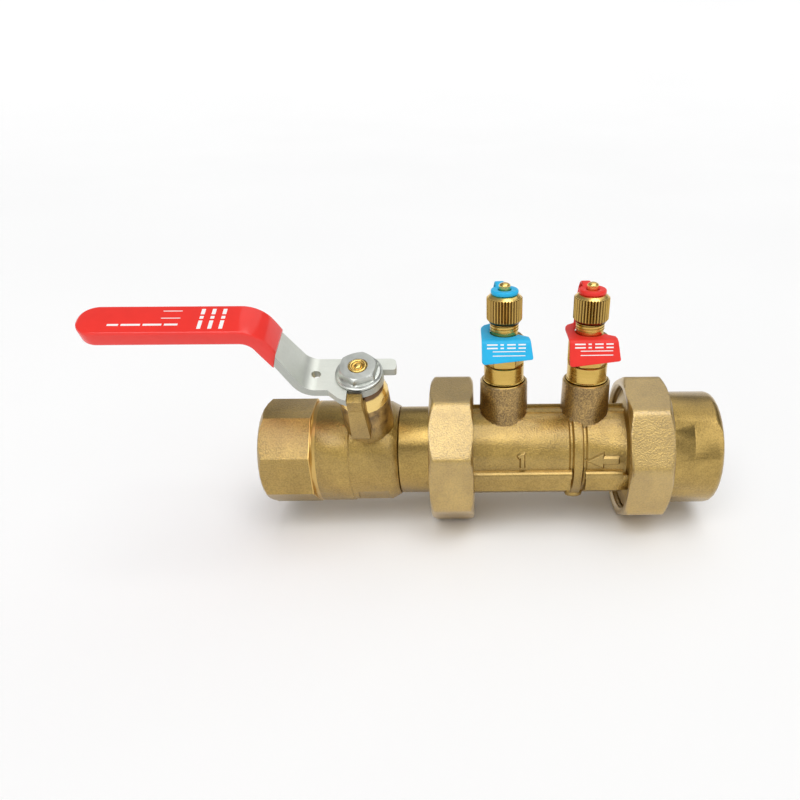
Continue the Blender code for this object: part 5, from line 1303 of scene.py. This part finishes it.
def lights():
    """A broad soft key light from the upper left, one overhead, a weaker one at the right and one
    behind the valve, and a grey surround."""
    world = bpy.data.worlds.new("studio")
    bpy.context.scene.world = world
    world.use_nodes = True
    world.node_tree.nodes["Background"].inputs["Color"].default_value = (*SURROUND, 1.0)
    for name, azimuth, elevation, spread, power in SUNS:
        data = bpy.data.lights.new(name, "SUN")
        data.angle = math.radians(spread)
        data.energy = power
        lamp = new_object(name, data)
        lamp.rotation_euler = direction(azimuth, elevation).to_track_quat("Z", "Y").to_euler()


def camera():
    """The photograph's camera."""
    data = bpy.data.cameras.new("camera")
    data.sensor_width = SENSOR
    data.lens = FOCAL_PIXELS / PICTURE * SENSOR
    data.shift_x = -(AXIS_PIXEL[0] - PICTURE / 2) / PICTURE
    data.shift_y = (AXIS_PIXEL[1] - PICTURE / 2) / PICTURE
    data.clip_start = 10 * MM
    away = direction(CAMERA_AZIMUTH, CAMERA_ELEVATION)
    turn = away.to_track_quat("Z", "Y").to_matrix().to_4x4()
    eye = new_object("camera", data)
    eye.matrix_world = Matrix.Translation(away * CAMERA_DISTANCE) @ turn
    bpy.context.scene.camera = eye


camera()
lights()
stage()
bpy.context.scene.view_settings.view_transform = "Standard"

nut_brass = blasted("nut_brass", NUT_DARK, NUT_LIGHT, sheen=1.0)
tail_brass = blasted("tail_brass", GOLD_DARK, GOLD_LIGHT, depth=0.06 * MM, rough=(0.26, 0.36), sheen=0.4)
mark_brass = blasted("mark_brass", GOLD_DARK, GOLD_LIGHT, 0.5 * MM, 0.03 * MM)
port_brass = machined("port_brass", TURNED_DARK, TURNED_LIGHT, 2)
stem_brass = machined("stem_brass", BRIGHT_DARK, BRIGHT_LIGHT, 0)
steel = plated_steel()
nut_steel = polished("nut_steel", NUT_STEEL_DARK, NUT_STEEL_LIGHT, (0.3, 0.4))
cartridge_steel = polished("cartridge_steel", STEEL_DARK, STEEL_LIGHT, (0.2, 0.32))
ball_plating = polished("ball_plating", BALL_DARK, BALL_LIGHT)
rubber = plastic("black_rubber", BLACK, (0.5, 0.7))
white = plastic("white_plastic", WHITE, (0.4, 0.55), 0.01 * MM, 0.93)
ink = plastic("white_ink", WHITE, (0.4, 0.5), 0.002 * MM, 0.96)
blue = plastic("blue_plastic", BLUE, shade=0.9)
red = plastic("red_plastic", RED, shade=0.9)
dip = dipped("dipped_red", GRIP_RED)

dress(["centre_housing"], cast_housing())
dress(["inlet_nut", "outlet_nut"], nut_brass)
dress(["valve_body"], cast_valve())
dress(["inlet_tailpiece", "outlet_tail"], tail_brass)
for side, plain, slot in (("low", blue, "blue_plastic"), ("high", red, "red_plastic")):
    dress([f"{side}_port_{part}" for part in ("body", "core_retainer", "cap")], port_brass)
    dress([f"{side}_port_{part}" for part in ("seal", "core", "cap_liner")], rubber)
    dress([f"{side}_port_{part}" for part in ("tag", "strap", "strap_ring")], plain)
dress(["stem", "gland_nut"], stem_brass)
dress(["lever"], steel)
dress(["lever_nut"], nut_steel)
cartridge = [f"cartridge_{part}" for part in ("shell", "piston", "spring", "end_cap", "retainer")]
dress(cartridge, cartridge_steel)
dress(["ball"], ball_plating)
dress(["cartridge_seal", "inlet_gasket", "outlet_gasket"], rubber)
dress(["inlet_ball_seat", "outlet_ball_seat"], white)
dress(["stem_thrust_washer", "stem_packing"], white)
dress(["lever_grip"], dip)

for name, width in (
    ("valve_body", 0.35 * MM),
    ("centre_housing", 0.3 * MM),
    ("inlet_tailpiece", 0.3 * MM),
    ("outlet_tail", 0.2 * MM),
    ("gland_nut", 0.15 * MM),
    ("stem", 0.2 * MM),
    ("ball", 0.3 * MM),
):
    soften(name, width)

for side, plain in zip(SIDES, (blue, red)):
    knurled_cap(side)
    port_body(side, port_brass)
    neck_thread(side, port_brass)
    leash(side, plain, ink)
sleeve(dip)
lever_plate(steel)
lever_nut(nut_steel)
spindle(stem_brass)
stem_end(stem_brass)
coil_spring(cartridge_steel)
grip_marks(ink)
union_nut("inlet", -1, nut_brass)
union_nut("outlet", 1, nut_brass)
socket_thread("inlet_socket_thread", "inlet_tailpiece", 1, "inlet_tail", tail_brass)
socket_thread("outlet_socket_thread", "valve_body", -1, "outlet_valve", tail_brass)
raised("cast_one", CAST_ONE, mark_brass)
raised("cast_arrow", CAST_ARROW, mark_brass)
rails(mark_brass)
stop_lug(mark_brass)
